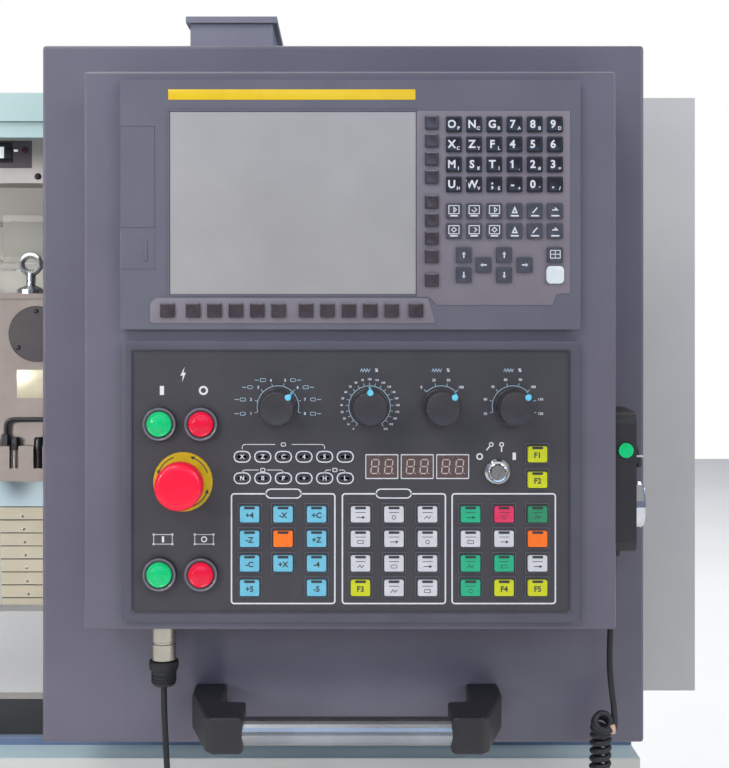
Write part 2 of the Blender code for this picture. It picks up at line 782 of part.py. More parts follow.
def make_base():
    """The base casting: ledge, lip and mat along the front, a chip chute, and a bed with its ways."""
    lip_front = BASE_FRONT + LEDGE_DEPTH
    mat_front = lip_front + LIP_DEPTH
    mat_rear = GUARD_FRONT - GAP
    outline = (
        (BASE_FRONT, KICK_HEIGHT),
        (BASE_FRONT, BASE_TOP),
        (lip_front, BASE_TOP),
        (lip_front, BASE_TOP + LIP_HEIGHT),
        (mat_front, BASE_TOP + LIP_HEIGHT),
        (mat_front, BASE_TOP + MAT_HEIGHT),
        (mat_rear, BASE_TOP + MAT_HEIGHT),
        (mat_rear, BASE_TOP),
        (MACHINE_REAR, BASE_TOP),
        (MACHINE_REAR, FOOT_HEIGHT),
        (BASE_FRONT + KICK_DEPTH, FOOT_HEIGHT),
        (BASE_FRONT + KICK_DEPTH, KICK_HEIGHT),
    )
    feet = []
    first = FOOT_INSET - HALF_LENGTH
    pitch = (BASE_RIGHT - FOOT_INSET - first) / (FOOT_COUNT - 1)
    for i in range(FOOT_COUNT):
        x = first + pitch * i
        for y in (BASE_FRONT + KICK_DEPTH + FOOT_INSET, MACHINE_REAR - FOOT_INSET):
            feet.append(rod("Z", (x, y), FOOT_RADIUS, 0, FOOT_HEIGHT + OVERRUN, SMALL_SIDES))
    inside = (WORK_LEFT - GAP, WORK_RIGHT)
    over_top = BASE_TOP + OVERRUN
    trough = block(inside, (TROUGH_FRONT, TROUGH_REAR), (BED_TOP, over_top))
    chute = block(inside, (TROUGH_FRONT, CHUTE_REAR), (BED_TOP - CHUTE_DEPTH, BED_TOP + OVERRUN))
    way_ends = (inside[0] - OVERRUN, inside[1] + OVERRUN)
    ways = []
    for y in TAIL_RAILS + SADDLE_RAILS:
        ways.append(block(way_ends, centred(y, RAIL_WIDTH), (BED_TOP - OVERRUN, BED_TOP + RAIL_HEIGHT)))
    length = BASE_RIGHT + HALF_LENGTH
    panels = []
    for start, end in FRONT_PANEL_SHARES:
        wide = (start * length - HALF_LENGTH, end * length - HALF_LENGTH)
        tall = (KICK_HEIGHT + FRONT_PANEL_MARGIN, BASE_TOP - FRONT_PANEL_MARGIN)
        panels.append(block(wide, (BASE_FRONT - FRONT_PANEL_PROUD, BASE_FRONT + OVERRUN), tall))
    casting = prism(outline, "X", -HALF_LENGTH, BASE_RIGHT)
    whole = shaped(casting, add=[together(feet), together(panels)], cut=[trough, chute])
    solid("base", CREAM, whole, add=[together(ways)])


def make_covers():
    """Left cover, right end cover, front guard with the sill, folded rear wall and roof."""
    track = centred(TRACK_Z, TRACK_WIDTH)
    track_y = (GUARD_FRONT - TRACK_REACH, GUARD_FRONT + OVERRUN)
    floor = BASE_TOP + GAP
    left = block((-HALF_LENGTH, WORK_LEFT - GAP), (GUARD_FRONT, MACHINE_REAR), (floor, ROOF_TOP))
    left_track = block((-HALF_LENGTH + COVER_ROUND, WORK_LEFT - GAP), track_y, track)
    vents = []
    middle = (BASE_TOP + ROOF_TOP) / 2
    for i in range(VENT_COUNT):
        z = middle + (i - (VENT_COUNT - 1) / 2) * VENT_PITCH
        deep = (-HALF_LENGTH - OVERRUN, -HALF_LENGTH + VENT_DEPTH)
        vents.append(block(deep, centred(0, VENT_LENGTH), centred(z, VENT_HEIGHT)))
    cover = shaped(softened(left, COVER_ROUND / 2), cut=[together(vents)])
    solid("left_cover", PALE_GREEN, cover, add=[left_track])
    guard_rear = GUARD_FRONT + GUARD_SHEET
    right = prism(
        (
            (WORK_RIGHT + GAP, floor),
            (BASE_RIGHT, floor),
            (BASE_RIGHT, END_COVER_BOTTOM),
            (HALF_LENGTH, END_COVER_BOTTOM),
            (HALF_LENGTH, END_COVER_TOP),
            (WORK_RIGHT + GAP, END_COVER_TOP),
        ),
        "Y",
        guard_rear + GAP,
        MACHINE_REAR,
    )
    solid("right_cover", GREY, right)
    guard = prism(
        (
            (WORK_LEFT, floor),
            (BASE_RIGHT, floor),
            (BASE_RIGHT, END_COVER_BOTTOM),
            (HALF_LENGTH, END_COVER_BOTTOM),
            (HALF_LENGTH, END_COVER_TOP),
            (WORK_RIGHT + GAP, END_COVER_TOP),
            (WORK_RIGHT + GAP, HEADER_BOTTOM - GAP),
            (DOORWAY_RIGHT, HEADER_BOTTOM - GAP),
            (DOORWAY_RIGHT, SILL_TOP),
            (WORK_LEFT, SILL_TOP),
        ),
        "Y",
        GUARD_FRONT,
        guard_rear,
    )
    rim_deep = (guard_rear - OVERRUN, guard_rear + SILL_RIM)
    rim = block((WORK_LEFT, DOORWAY_RIGHT), rim_deep, (SILL_TOP - SILL_RIM, SILL_TOP))
    solid("front_guard", GREY, guard, add=[rim])
    make_rear_wall(floor)
    inside = (WORK_LEFT, WORK_RIGHT)
    roof = prism(
        (
            (GUARD_FRONT, HEADER_BOTTOM),
            (GUARD_FRONT, ROOF_TOP),
            (MACHINE_REAR, ROOF_TOP),
            (MACHINE_REAR, CEILING),
            (GUARD_FRONT + HEADER_SHEET, CEILING),
            (GUARD_FRONT + HEADER_SHEET, HEADER_BOTTOM),
        ),
        "X",
        *inside,
    )
    solid("roof_header", PALE_GREEN, roof, add=[block((inside[0], DOORWAY_RIGHT), track_y, track)])


def make_rear_wall(floor):
    """The wall behind the work space, folded in steps that go back towards the bottom."""
    top = CEILING - GAP
    outline = [(MACHINE_REAR, floor), (MACHINE_REAR, top), (WALL_FRONT, top)]
    y = WALL_FRONT
    back = WALL_FRONT + FOLD_DEPTH
    for i, share in enumerate(FOLD_SHARES):
        z = CEILING - share * (CEILING - BASE_TOP)
        other = back if i % 2 == 0 else WALL_FRONT
        outline += [(y, z), (other, z - FOLD_RISE)]
        y = other
    outline.append((y, floor))
    solid("rear_wall", INSIDE, prism(outline, "X", WORK_LEFT, WORK_RIGHT))


def make_lamp():
    """The work lamp in its tray behind the header."""
    wide = (WORK_LEFT + LAMP_INSET[0], DOORWAY_RIGHT - LAMP_INSET[1])
    tray = block(wide, (LAMP_FRONT, LAMP_FRONT + LAMP_DEPTH), (CEILING - LAMP_HEIGHT, CEILING - GAP))
    window = block(
        (wide[0] + LAMP_GLASS_INSET[0], wide[1] - LAMP_GLASS_INSET[1]),
        (LAMP_FRONT - OVERRUN, LAMP_FRONT + LAMP_GLASS_DEPTH),
        (CEILING - LAMP_GLASS_DROP[0], CEILING - LAMP_GLASS_DROP[1]),
    )
    solid("work_lamp", INSIDE, tray, cut=[window])


def make_door():
    """The sliding door, open at rest in front of the left cover: leaf, window pane and pull handle."""
    right = WORK_LEFT - DOOR_OVERLAP
    left = right - DOOR_WIDTH
    rear = GUARD_FRONT - SLIDE_GAP
    front = rear - DOOR_SHEET
    leaf = softened(block((left, right), (front, rear), (DOOR_LOW, DOOR_HIGH)), DOOR_ROUND, 1)
    wide = centred((left + right) / 2 + WINDOW_SHIFT, DOOR_WIDTH * WINDOW_WIDTH_SHARE)
    tall = (DOOR_LOW + WINDOW_MARGIN_LOW, DOOR_HIGH - WINDOW_MARGIN_HIGH)
    seat_wide = (wide[0] - WINDOW_SEAT, wide[1] + WINDOW_SEAT)
    seat_tall = (tall[0] - WINDOW_SEAT, tall[1] + WINDOW_SEAT)
    seat_y = front + (DOOR_SHEET - WINDOW_SHEET) / 2
    hole = prism(rounded(wide, tall, WINDOW_ROUND), "Y", front - OVERRUN, rear + OVERRUN)
    seat = prism(rounded(seat_wide, seat_tall, WINDOW_ROUND), "Y", seat_y, rear + OVERRUN)
    slot_half = TRACK_WIDTH / 2 + TRACK_CLEARANCE
    slot = block(
        (left - OVERRUN, right + OVERRUN),
        (GUARD_FRONT - TRACK_REACH - TRACK_CLEARANCE, rear + OVERRUN),
        (TRACK_Z - slot_half, TRACK_Z + slot_half),
    )
    solid("door_leaf", CREAM, leaf, cut=[hole, seat, slot], pivot=(left, front, DOOR_LOW))
    pane_wide = (seat_wide[0] + GAP, seat_wide[1] - GAP)
    pane_tall = (seat_tall[0] + GAP, seat_tall[1] - GAP)
    pane = prism(rounded(pane_wide, pane_tall, WINDOW_ROUND - GAP), "Y", seat_y + GAP, seat_y + WINDOW_SHEET)
    solid("door_window", GLASS, pane, pivot=(left, front, DOOR_LOW))
    make_door_handle(right - DOOR_HANDLE_INSET, front, sum(tall) / 2)


def make_door_handle(x, front, z):
    """A pull handle of one bent bar."""
    low, high = centred(z, DOOR_HANDLE_LENGTH)
    bar = DOOR_HANDLE_BAR
    outer = front - DOOR_HANDLE_REACH
    seat = front - GAP
    outline = (
        (seat, low),
        (outer + bar, low),
        (outer, low + bar),
        (outer, high - bar),
        (outer + bar, high),
        (seat, high),
        (seat, high - bar),
        (outer + bar, high - bar),
        (outer + bar, low + bar),
        (seat, low + bar),
    )
    grip = softened(prism(outline, "X", *centred(x, bar)), DOOR_ROUND, 1)
    solid("door_handle", BLACK, grip, pivot=(x, front, z))


def make_spindle():
    """Headstock nose on the left wall, the spindle in it, and a three jaw chuck."""
    axis = (SPINDLE_Y, SPINDLE_Z)
    wall = WORK_LEFT
    face = wall + NOSE_FLANGE + NOSE_LENGTH
    bore_end = face - NOSE_BORE_DEPTH
    nose = turned(
        "X",
        axis,
        (
            (wall, NOSE_FLANGE_RADIUS),
            (wall + NOSE_FLANGE, NOSE_FLANGE_RADIUS),
            (wall + NOSE_FLANGE, NOSE_RADIUS),
            (face, NOSE_RADIUS),
            (face, NOSE_BORE),
            (bore_end, NOSE_BORE),
        ),
    )
    solid("headstock", IRON, nose)
    flange_rear = face + GAP
    flange_front = flange_rear + SPINDLE_FLANGE
    chuck_face = flange_front + GAP + CHUCK_LENGTH
    pivot = (flange_rear, SPINDLE_Y, SPINDLE_Z)
    shaft = turned(
        "X",
        axis,
        (
            (bore_end + GAP, SPINDLE_BORE),
            (bore_end + GAP, SPINDLE_RADIUS),
            (flange_rear, SPINDLE_RADIUS),
            (flange_rear, SPINDLE_FLANGE_RADIUS),
            (flange_front, SPINDLE_FLANGE_RADIUS),
            (flange_front, SPINDLE_BORE),
            (bore_end + GAP, SPINDLE_BORE),
        ),
    )
    solid("spindle", STEEL, closed_ring(shaft), pivot=pivot)
    make_chuck(axis, flange_front + GAP, chuck_face, pivot)


def closed_ring(mesh):
    """A turned shape whose profile is a loop, with its first and last rings welded and no end faces."""
    quad = 4
    bm = bmesh.new()
    bm.from_mesh(mesh)
    bmesh.ops.delete(bm, geom=[f for f in bm.faces if len(f.verts) > quad], context="FACES_ONLY")
    bmesh.ops.remove_doubles(bm, verts=bm.verts, dist=WELD)
    return mesh_of(bm)


def make_chuck(axis, rear, face, pivot):
    """The chuck body with a T slot for each jaw, and the stepped jaws."""
    body = closed_ring(
        turned(
            "X",
            axis,
            (
                (rear, SPINDLE_BORE),
                (rear, CHUCK_RADIUS - CHUCK_CHAMFER),
                (rear + CHUCK_CHAMFER, CHUCK_RADIUS),
                (face - CHUCK_CHAMFER, CHUCK_RADIUS),
                (face, CHUCK_RADIUS - CHUCK_CHAMFER),
                (face, SPINDLE_BORE),
                (rear, SPINDLE_BORE),
            ),
        )
    )
    slots = []
    jaws = []
    centre = Vector((0, *axis))
    for i in range(JAW_COUNT):
        turn = Matrix.Translation(centre) @ Matrix.Rotation(math.tau * i / JAW_COUNT, 4, "X")
        half = JAW_WIDTH / 2 + GAP
        tee = TEE_WIDTH / 2 + GAP
        floor = face - JAW_SLOT_DEPTH
        out = CHUCK_RADIUS + OVERRUN
        section = (
            (face + OVERRUN, -half),
            (face + OVERRUN, half),
            (floor, half),
            (floor, tee),
            (floor - TEE_DEPTH - GAP, tee),
            (floor - TEE_DEPTH - GAP, -tee),
            (floor, -tee),
            (floor, -half),
        )
        slots.append(moved(prism(section, "Z", JAW_SLOT_INNER, out), turn))
        jaws.append(moved(jaw_shape(face, floor), turn))
    solid("chuck_body", STEEL, body, cut=slots, pivot=pivot)
    for i, jaw in enumerate(jaws):
        solid(f"chuck_jaw_{i + 1}", HARD_STEEL, jaw, pivot=pivot)


def jaw_shape(face, floor):
    """One jaw standing along +Z from the spindle axis, with its steps and its T foot."""
    outline = [(floor + GAP, JAW_INNER)]
    inner = JAW_INNER
    for height, rise in JAW_STEPS:
        outline += [(face + rise, inner), (face + rise, height)]
        inner = height
    outline.append((floor + GAP, inner))
    plate = prism(outline, "Y", *centred(0, JAW_WIDTH))
    foot = block((floor - TEE_DEPTH, floor + OVERRUN), centred(0, TEE_WIDTH), (JAW_INNER, inner))
    return shaped(plate, add=[foot])


def make_carriage():
    """The saddle with its column, and the upright cross slide with its pale blue apron."""
    wide = (CARRIAGE_LEFT, CARRIAGE_RIGHT)
    rail_top = BED_TOP + RAIL_HEIGHT + GAP
    saddle_top = BED_TOP + SADDLE_HEIGHT
    outline = (
        (SADDLE_FRONT, rail_top),
        (SADDLE_REAR, rail_top),
        (SADDLE_REAR, COLUMN_TOP),
        (COLUMN_FRONT, COLUMN_TOP),
        (COLUMN_FRONT, saddle_top),
        (SADDLE_FRONT, saddle_top),
    )
    last_y = plate_front(PLATE_COUNT + 1)
    low = plate_low(PLATE_COUNT + 1)
    last = block((COVER_LEFT, COVER_RIGHT), (last_y, last_y + PLATE_SHEET), (low, low + PLATE_HEIGHT))
    bracket = block(wide, (last_y + PLATE_SHEET / 2, COLUMN_FRONT + OVERRUN), (low, low + PLATE_HEIGHT / 2))
    pivot = (CARRIAGE_LEFT, SADDLE_FRONT, rail_top)
    solid("saddle", IRON, prism(outline, "X", *wide), add=[bracket, last], pivot=pivot)
    front = HOUSING_REAR + GAP
    slide_wide = (CARRIAGE_LEFT + SLIDE_INSET, CARRIAGE_RIGHT - SLIDE_INSET)
    slide = block(slide_wide, (front, COLUMN_FRONT - SLIDE_GAP), (SLIDE_BOTTOM, SLIDE_TOP))
    apron_tall = (SLIDE_APRON_BOTTOM, SLIDE_BOTTOM + PLATE_HEIGHT)
    apron = block((COVER_LEFT, COVER_RIGHT), (front, front + PLATE_SHEET), apron_tall)
    solid("cross_slide", PLATE, slide, add=[apron], pivot=(slide_wide[0], front, SLIDE_BOTTOM))
    for k in range(1, PLATE_COUNT + 1):
        y = plate_front(k)
        low = plate_low(k)
        plate = block((COVER_LEFT, COVER_RIGHT), (y, y + PLATE_SHEET), (low, low + PLATE_HEIGHT))
        solid(f"cover_plate_{k}", PLATE, plate, pivot=(COVER_LEFT, y, low))


def plate_front(k):
    """Where way cover plate k starts in depth: each lower plate lies behind the one above it."""
    return HOUSING_REAR + GAP + PLATE_STEP * k


def plate_low(k):
    """The lower edge of way cover plate k."""
    return SLIDE_APRON_BOTTOM - PLATE_PITCH * k


def make_turret():
    """Turret housing with its cap, flange and lugs, the tool disc, the lifting eye and a coolant pipe."""
    wide = (TURRET_LEFT, TURRET_LEFT + TURRET_LENGTH)
    deep = (TURRET_FRONT, HOUSING_REAR)
    outline = rounded(wide, deep, TURRET_ROUND, 3)
    body = prism(outline, "Z", TURRET_LOW - OVERRUN, TURRET_HIGH + OVERRUN)
    proud = TURRET_CAP_PROUD
    cap = block(
        (wide[0], wide[1] + proud),
        (deep[0] - proud, deep[1]),
        (TURRET_HIGH, TURRET_HIGH + TURRET_CAP),
    )
    flange = block(
        (wide[0], wide[1] + TURRET_FLANGE_PROUD),
        (deep[0] - TURRET_FLANGE_PROUD, deep[1]),
        (TURRET_LOW - TURRET_FLANGE, TURRET_LOW),
    )
    access_at = (TURRET_LEFT + ACCESS_OUT, TURRET_HIGH - ACCESS_DROP)
    access_ends = (TURRET_FRONT - ACCESS_PROUD, TURRET_FRONT + OVERRUN)
    access = rod("Y", access_at, ACCESS_RADIUS, *access_ends)
    lugs = []
    bolts = []
    lug_y = (TURRET_FRONT - TURRET_FLANGE_PROUD, TURRET_FRONT + OVERRUN)
    y = TURRET_FRONT - TURRET_FLANGE_PROUD / 2
    foot = TURRET_LOW - OVERRUN
    for i in range(LUG_COUNT):
        x = TURRET_LEFT + LUG_OUT + i * LUG_PITCH
        lugs.append(block(centred(x, LUG_WIDTH), lug_y, (foot, TURRET_LOW + LUG_HEIGHT)))
        bolt_top = TURRET_LOW + LUG_BOLT_HEIGHT
        bolts.append(rod("Z", (x + LUG_PITCH / 2, y), LUG_BOLT_RADIUS, foot, bolt_top, BOLT_SIDES))
    solid(
        "turret_housing",
        IRON,
        body,
        add=[cap, flange, access, together(lugs), together(bolts)],
        pivot=(TURRET_LEFT, SPINDLE_Y, DISC_AXIS_Z),
    )
    make_disc()
    make_eye()
    make_pipe()


def make_disc():
    """The twelve sided tool disc with a square shank tool in every second face."""
    axis = (SPINDLE_Y, DISC_AXIS_Z)
    disc = rod("X", axis, DISC_RADIUS, DISC_LEFT, DISC_RIGHT, DISC_FACES)
    hub = rod("X", axis, DISC_HUB_RADIUS, DISC_RIGHT - OVERRUN, TURRET_LEFT - GAP)
    cap = rod("X", axis, DISC_HUB_RADIUS, DISC_LEFT - DISC_HUB_LENGTH, DISC_LEFT + OVERRUN)
    holders = []
    tools = []
    for i in range(0, DISC_FACES, 2):
        angle = math.tau * (i + 1 / 2) / DISC_FACES
        turn = Matrix.Translation((0, *axis)) @ Matrix.Rotation(angle, 4, "X")
        inner = DISC_RADIUS - TOOL_LENGTH / 2
        holder_ends = (DISC_LEFT + HOLDER_INSET, DISC_RIGHT - HOLDER_INSET)
        holder = block(holder_ends, (inner, HOLDER_REACH), centred(0, TOOL_HOLDER))
        holders.append(moved(holder, turn))
        shank_left = DISC_LEFT + TOOL_INSET
        shank_ends = (shank_left, shank_left + TOOL_WIDTH)
        shank = block(shank_ends, (inner, TOOL_REACH), centred(0, TOOL_WIDTH))
        tools.append(moved(shank, turn))
    parts = [hub, cap, together(holders), together(tools)]
    solid("turret_disc", STEEL, disc, add=parts, pivot=(DISC_LEFT, *axis))


def make_eye():
    """The lifting eye on the turret: ring, neck and collar."""
    eye_x = TURRET_LEFT + EYE_OUT
    eye_z = TURRET_HIGH + EYE_RISE
    bm = bmesh.new()
    rings = []
    for i in range(SMALL_SIDES):
        angle = math.tau * i / SMALL_SIDES
        ring = []
        for k in range(EYE_SECTION):
            around = math.tau * k / EYE_SECTION
            far = EYE_RING + EYE_WIRE * math.cos(around)
            y = EYE_Y + EYE_WIRE * math.sin(around)
            ring.append(bm.verts.new((eye_x + far * math.cos(angle), y, eye_z + far * math.sin(angle))))
        rings.append(ring)
    for one, two in zip(rings, rings[1:] + rings[:1]):
        for k in range(EYE_SECTION):
            n = (k + 1) % EYE_SECTION
            bm.faces.new((one[k], one[n], two[n], two[k]))
    low = TURRET_HIGH + TURRET_CAP + GAP
    foot = turned(
        "Z",
        (eye_x, EYE_Y),
        (
            (low, EYE_COLLAR),
            (low + EYE_COLLAR_HEIGHT, EYE_COLLAR),
            (low + 2 * EYE_COLLAR_HEIGHT, EYE_NECK),
            (eye_z - EYE_RING, EYE_NECK),
        ),
        STUD_SIDES,
    )
    solid("eye_bolt", STEEL, foot, add=[mesh_of(bm)])


def make_pipe():
    """A bent coolant pipe in front of the turret, standing in two fittings on the lugs."""
    y = TURRET_FRONT - TURRET_FLANGE_PROUD / 2
    low = TURRET_LOW + LUG_HEIGHT + GAP
    left = TURRET_LEFT + PIPE_OUT
    right = left + PIPE_SPAN
    bend_z = TURRET_LOW + PIPE_RISE - PIPE_BEND
    points = [(left, low)]
    points += arc((left + PIPE_BEND, bend_z), PIPE_BEND, 180, -90, 4)
    points += arc((right - PIPE_BEND, bend_z), PIPE_BEND, 90, -90, 4)
    points.append((right, low))
    pipe = swept([(x, y, z) for x, z in points], PIPE_RADIUS, PIPE_SIDES)
    fittings = []
    for x in (left, right):
        fittings.append(rod("Z", (x, y), PIPE_FITTING_RADIUS, low, low + PIPE_FITTING_HEIGHT, HEX_SIDES))
    solid("coolant_pipe", BLACK, pipe, add=[together(fittings)])


def swept(points, radius, sides):
    """A round bar along points in a plane of constant Y."""
    bm = bmesh.new()
    points = [Vector(p) for p in points]
    rings = []
    for i, point in enumerate(points):
        before = points[max(i - 1, 0)]
        after = points[min(i + 1, len(points) - 1)]
        along = (after - before).normalized()
        if i in (0, len(points) - 1):
            along = Vector((0, 0, math.copysign(1, along.z)))
        across = Vector((0, 1, 0))
        up = along.cross(across)
        ring = []
        for k in range(sides):
            t = math.tau * k / sides
            ring.append(bm.verts.new(point + radius * (math.cos(t) * across + math.sin(t) * up)))
        rings.append(ring)
    for one, two in zip(rings, rings[1:]):
        for k in range(sides):
            n = (k + 1) % sides
            bm.faces.new((one[k], one[n], two[n], two[k]))
    bm.faces.new(rings[0])
    bm.faces.new(rings[-1])
    return mesh_of(bm)


def make_tailstock():
    """The tailstock body on its own ways, and the quill with a live centre."""
    low = BED_TOP + RAIL_HEIGHT + GAP
    foot_top = low + TAIL_FOOT_HEIGHT
    outline = [
        (TAIL_FRONT, low),
        (TAIL_REAR, low),
        (TAIL_REAR, foot_top),
        (SPINDLE_Y + TAIL_WAIST, foot_top + TAIL_FOOT_HEIGHT),
    ]
    outline += arc((SPINDLE_Y, SPINDLE_Z), TAIL_HEAD_RADIUS, 0, 180, TAIL_STEPS)
    outline += [(SPINDLE_Y - TAIL_WAIST, foot_top + TAIL_FOOT_HEIGHT), (TAIL_FRONT, foot_top)]
    axis = (SPINDLE_Y, SPINDLE_Z)
    bore_end = TAIL_LEFT + QUILL_BORE_DEPTH
    bore = rod("X", axis, QUILL_BORE, TAIL_LEFT - OVERRUN, bore_end)
    body = prism(outline, "X", TAIL_LEFT, TAIL_RIGHT)
    solid("tailstock_body", IRON, body, cut=[bore], pivot=(TAIL_LEFT, *axis))
    quill_left = TAIL_LEFT - QUILL_OUT
    tip = quill_left - CENTRE_LENGTH
    quill = turned(
        "X",
        axis,
        (
            (tip, 0),
            (tip + CENTRE_CONE, CENTRE_RADIUS),
            (quill_left, CENTRE_RADIUS),
            (quill_left, QUILL_RADIUS),
            (bore_end - SLIDE_GAP, QUILL_RADIUS),
        ),
    )
    solid("tailstock_quill", HARD_STEEL, quill, pivot=(quill_left, *axis))


def make_cabinet():
    """The electrical cabinet on the rear, a shell open to the back, and its hinged door."""
    wide = (CABINET_LEFT, CABINET_RIGHT)
    tall = (CABINET_LOW, CABINET_HIGH)
    wall = CABINET_WALL
    front = MACHINE_REAR + GAP
    shell = block(wide, (front, CABINET_REAR), tall)
    room_wide = (wide[0] + wall, wide[1] - wall)
    room = block(room_wide, (front + wall, CABINET_REAR + OVERRUN), (tall[0] + wall, tall[1] - wall))
    solid("electrical_cabinet", CREAM, shell, cut=[room])
    leaf = block(wide, (CABINET_REAR + GAP, CABINET_DOOR_REAR), tall)
    x = wide[1] - CABINET_HANDLE_INSET
    middle = sum(tall) / 2
    well_rear = CABINET_DOOR_REAR - CABINET_HANDLE_DEPTH
    well = block(
        centred(x, CABINET_HANDLE_WIDTH),
        (well_rear, CABINET_DOOR_REAR + OVERRUN),
        centred(middle, CABINET_HANDLE_HEIGHT),
    )
    latch = block(
        centred(x, CABINET_HANDLE_WIDTH / 2),
        (well_rear - OVERRUN, CABINET_DOOR_REAR - GAP),
        centred(middle, CABINET_HANDLE_HEIGHT - CABINET_HANDLE_WIDTH),
    )
    vents = []
    deep = (CABINET_DOOR_REAR - VENT_DEPTH, CABINET_DOOR_REAR + OVERRUN)
    for start in (tall[0] + VENT_MARGIN, tall[1] - VENT_MARGIN - VENT_COUNT * VENT_PITCH):
        for i in range(VENT_COUNT):
            z = start + i * VENT_PITCH
            vents.append(block(centred(sum(wide) / 2, VENT_LENGTH), deep, (z, z + VENT_HEIGHT)))
    pivot = (wide[0], CABINET_DOOR_REAR, CABINET_LOW)
    solid("cabinet_door", CREAM, shaped(leaf, cut=[well, together(vents)]), add=[latch], pivot=pivot)


def make_arm():
    """The hanger arm: a folded channel over the pendant, with a cap flange and a foot pad on the roof."""
    low = ROOF_TOP + GAP
    wide = centred(SWIVEL_X, ARM_WIDTH)
    beam = block(wide, (ARM_FRONT, ARM_REAR), (low, ARM_TOP))
    cap_wide = (wide[0] - ARM_FLANGE, wide[1] + ARM_FLANGE)
    cap = block(cap_wide, (ARM_FRONT - ARM_FLANGE, ARM_REAR), (ARM_TOP - ARM_FLANGE_HEIGHT, ARM_TOP))
    pad = block(
        centred(SWIVEL_X, ARM_PAD_WIDTH),
        (ARM_REAR - ARM_PAD, ARM_REAR + OVERRUN),
        (low, low + ARM_PAD_HEIGHT),
    )
    solid("pendant_arm", SLATE, beam, add=[cap, pad])


def make_pendant_box():
    """The pendant's back box, a shell with a wide mouth that the console box closes, and its swivel boss."""
    wide = (BOX_LEFT, BOX_RIGHT)
    tall = (BOX_LOW, BOX_HIGH)
    wall = BOX_WALL
    shell = softened(block(wide, (BOX_FRONT, BOX_REAR), tall), BOX_ROUND / 2)
    room = block(
        (wide[0] + wall, wide[1] - wall),
        (BOX_FRONT + wall, BOX_REAR - wall),
        (tall[0] + wall, tall[1] - wall),
    )
    mouth = block(
        centred(CONSOLE_X, CONSOLE_WIDTH - 2 * BOX_MOUTH_MARGIN),
        (BOX_FRONT - OVERRUN, BOX_FRONT + wall + OVERRUN),
        centred(CONSOLE_Z, CONSOLE_HEIGHT - 2 * BOX_MOUTH_MARGIN),
    )
    boss = rod("Z", (SWIVEL_X, SWIVEL_Y), SWIVEL_RADIUS, tall[1] - wall / 2, ROOF_TOP)
    hollow = shaped(room, add=[mouth])
    pivot = (SWIVEL_X, SWIVEL_Y, ROOF_TOP)
    solid("pendant_box", SLATE, shell, add=[boss], cut=[hollow], pivot=pivot)


def make_console_box():
    """The hinged console box, a tray open at the back, with hinge knuckles and a latch."""
    wide = centred(CONSOLE_X, CONSOLE_WIDTH)
    tall = centred(CONSOLE_Z, CONSOLE_HEIGHT)
    rear = BOX_FRONT - CONSOLE_SEAM
    wall = CONSOLE_WALL
    tray = softened(block(wide, (CONSOLE_FACE, rear), tall), CONSOLE_ROUND / 2)
    room_wide = (wide[0] + wall, wide[1] - wall)
    room = block(room_wide, (CONSOLE_FACE + wall, rear + OVERRUN), (tall[0] + wall, tall[1] - wall))
    x = wide[0] - HINGE_OUT + HINGE_RADIUS
    knuckles = []
    for z in (tall[0] + HINGE_INSET, tall[1] - HINGE_INSET):
        ends = centred(z, HINGE_LENGTH)
        knuckles.append(rod("Z", (x, rear - HINGE_RADIUS), HINGE_RADIUS, *ends, BOLT_SIDES))
    latch = block(
        (wide[1] - OVERRUN / 2, wide[1] + LATCH_WIDTH),
        (rear - 2 * LATCH_DEPTH, rear - LATCH_DEPTH),
        centred(CONSOLE_Z + LATCH_ABOVE, LATCH_HEIGHT),
    )
    pivot = (x, rear - HINGE_RADIUS, CONSOLE_Z)
    solid("console_box", SLATE, tray, add=[together(knuckles), latch], cut=[room], pivot=pivot)


def place(u, v):
    """A point on the console's face, from its middle."""
    return CONSOLE_X + u, CONSOLE_Z + v


def key_block(u, v, width, height, front, rise):
    """One key standing proud of a face."""
    x, z = place(u, v)
    return block(centred(x, width), (front - rise, front + rise), centred(z, height))


def key_zones(front):
    """The raised fields under the data keys and under the row of soft keys."""
    left, right, low, high = KEY_ZONE
    data = [(left + a * (right - left), low + b * (high - low)) for a, b in KEY_ZONE_SHARES]
    left, right, low, high = SOFT_ZONE
    slant = SOFT_ZONE_SLANT
    soft = ((left, low), (right, low), (right - slant, high), (left + slant, high), (left, high - slant))
    ends = (front - KEY_ZONE_RISE, front + OVERRUN / 2)
    return together([prism([place(u, v) for u, v in zone], "Y", *ends) for zone in (data, soft)])


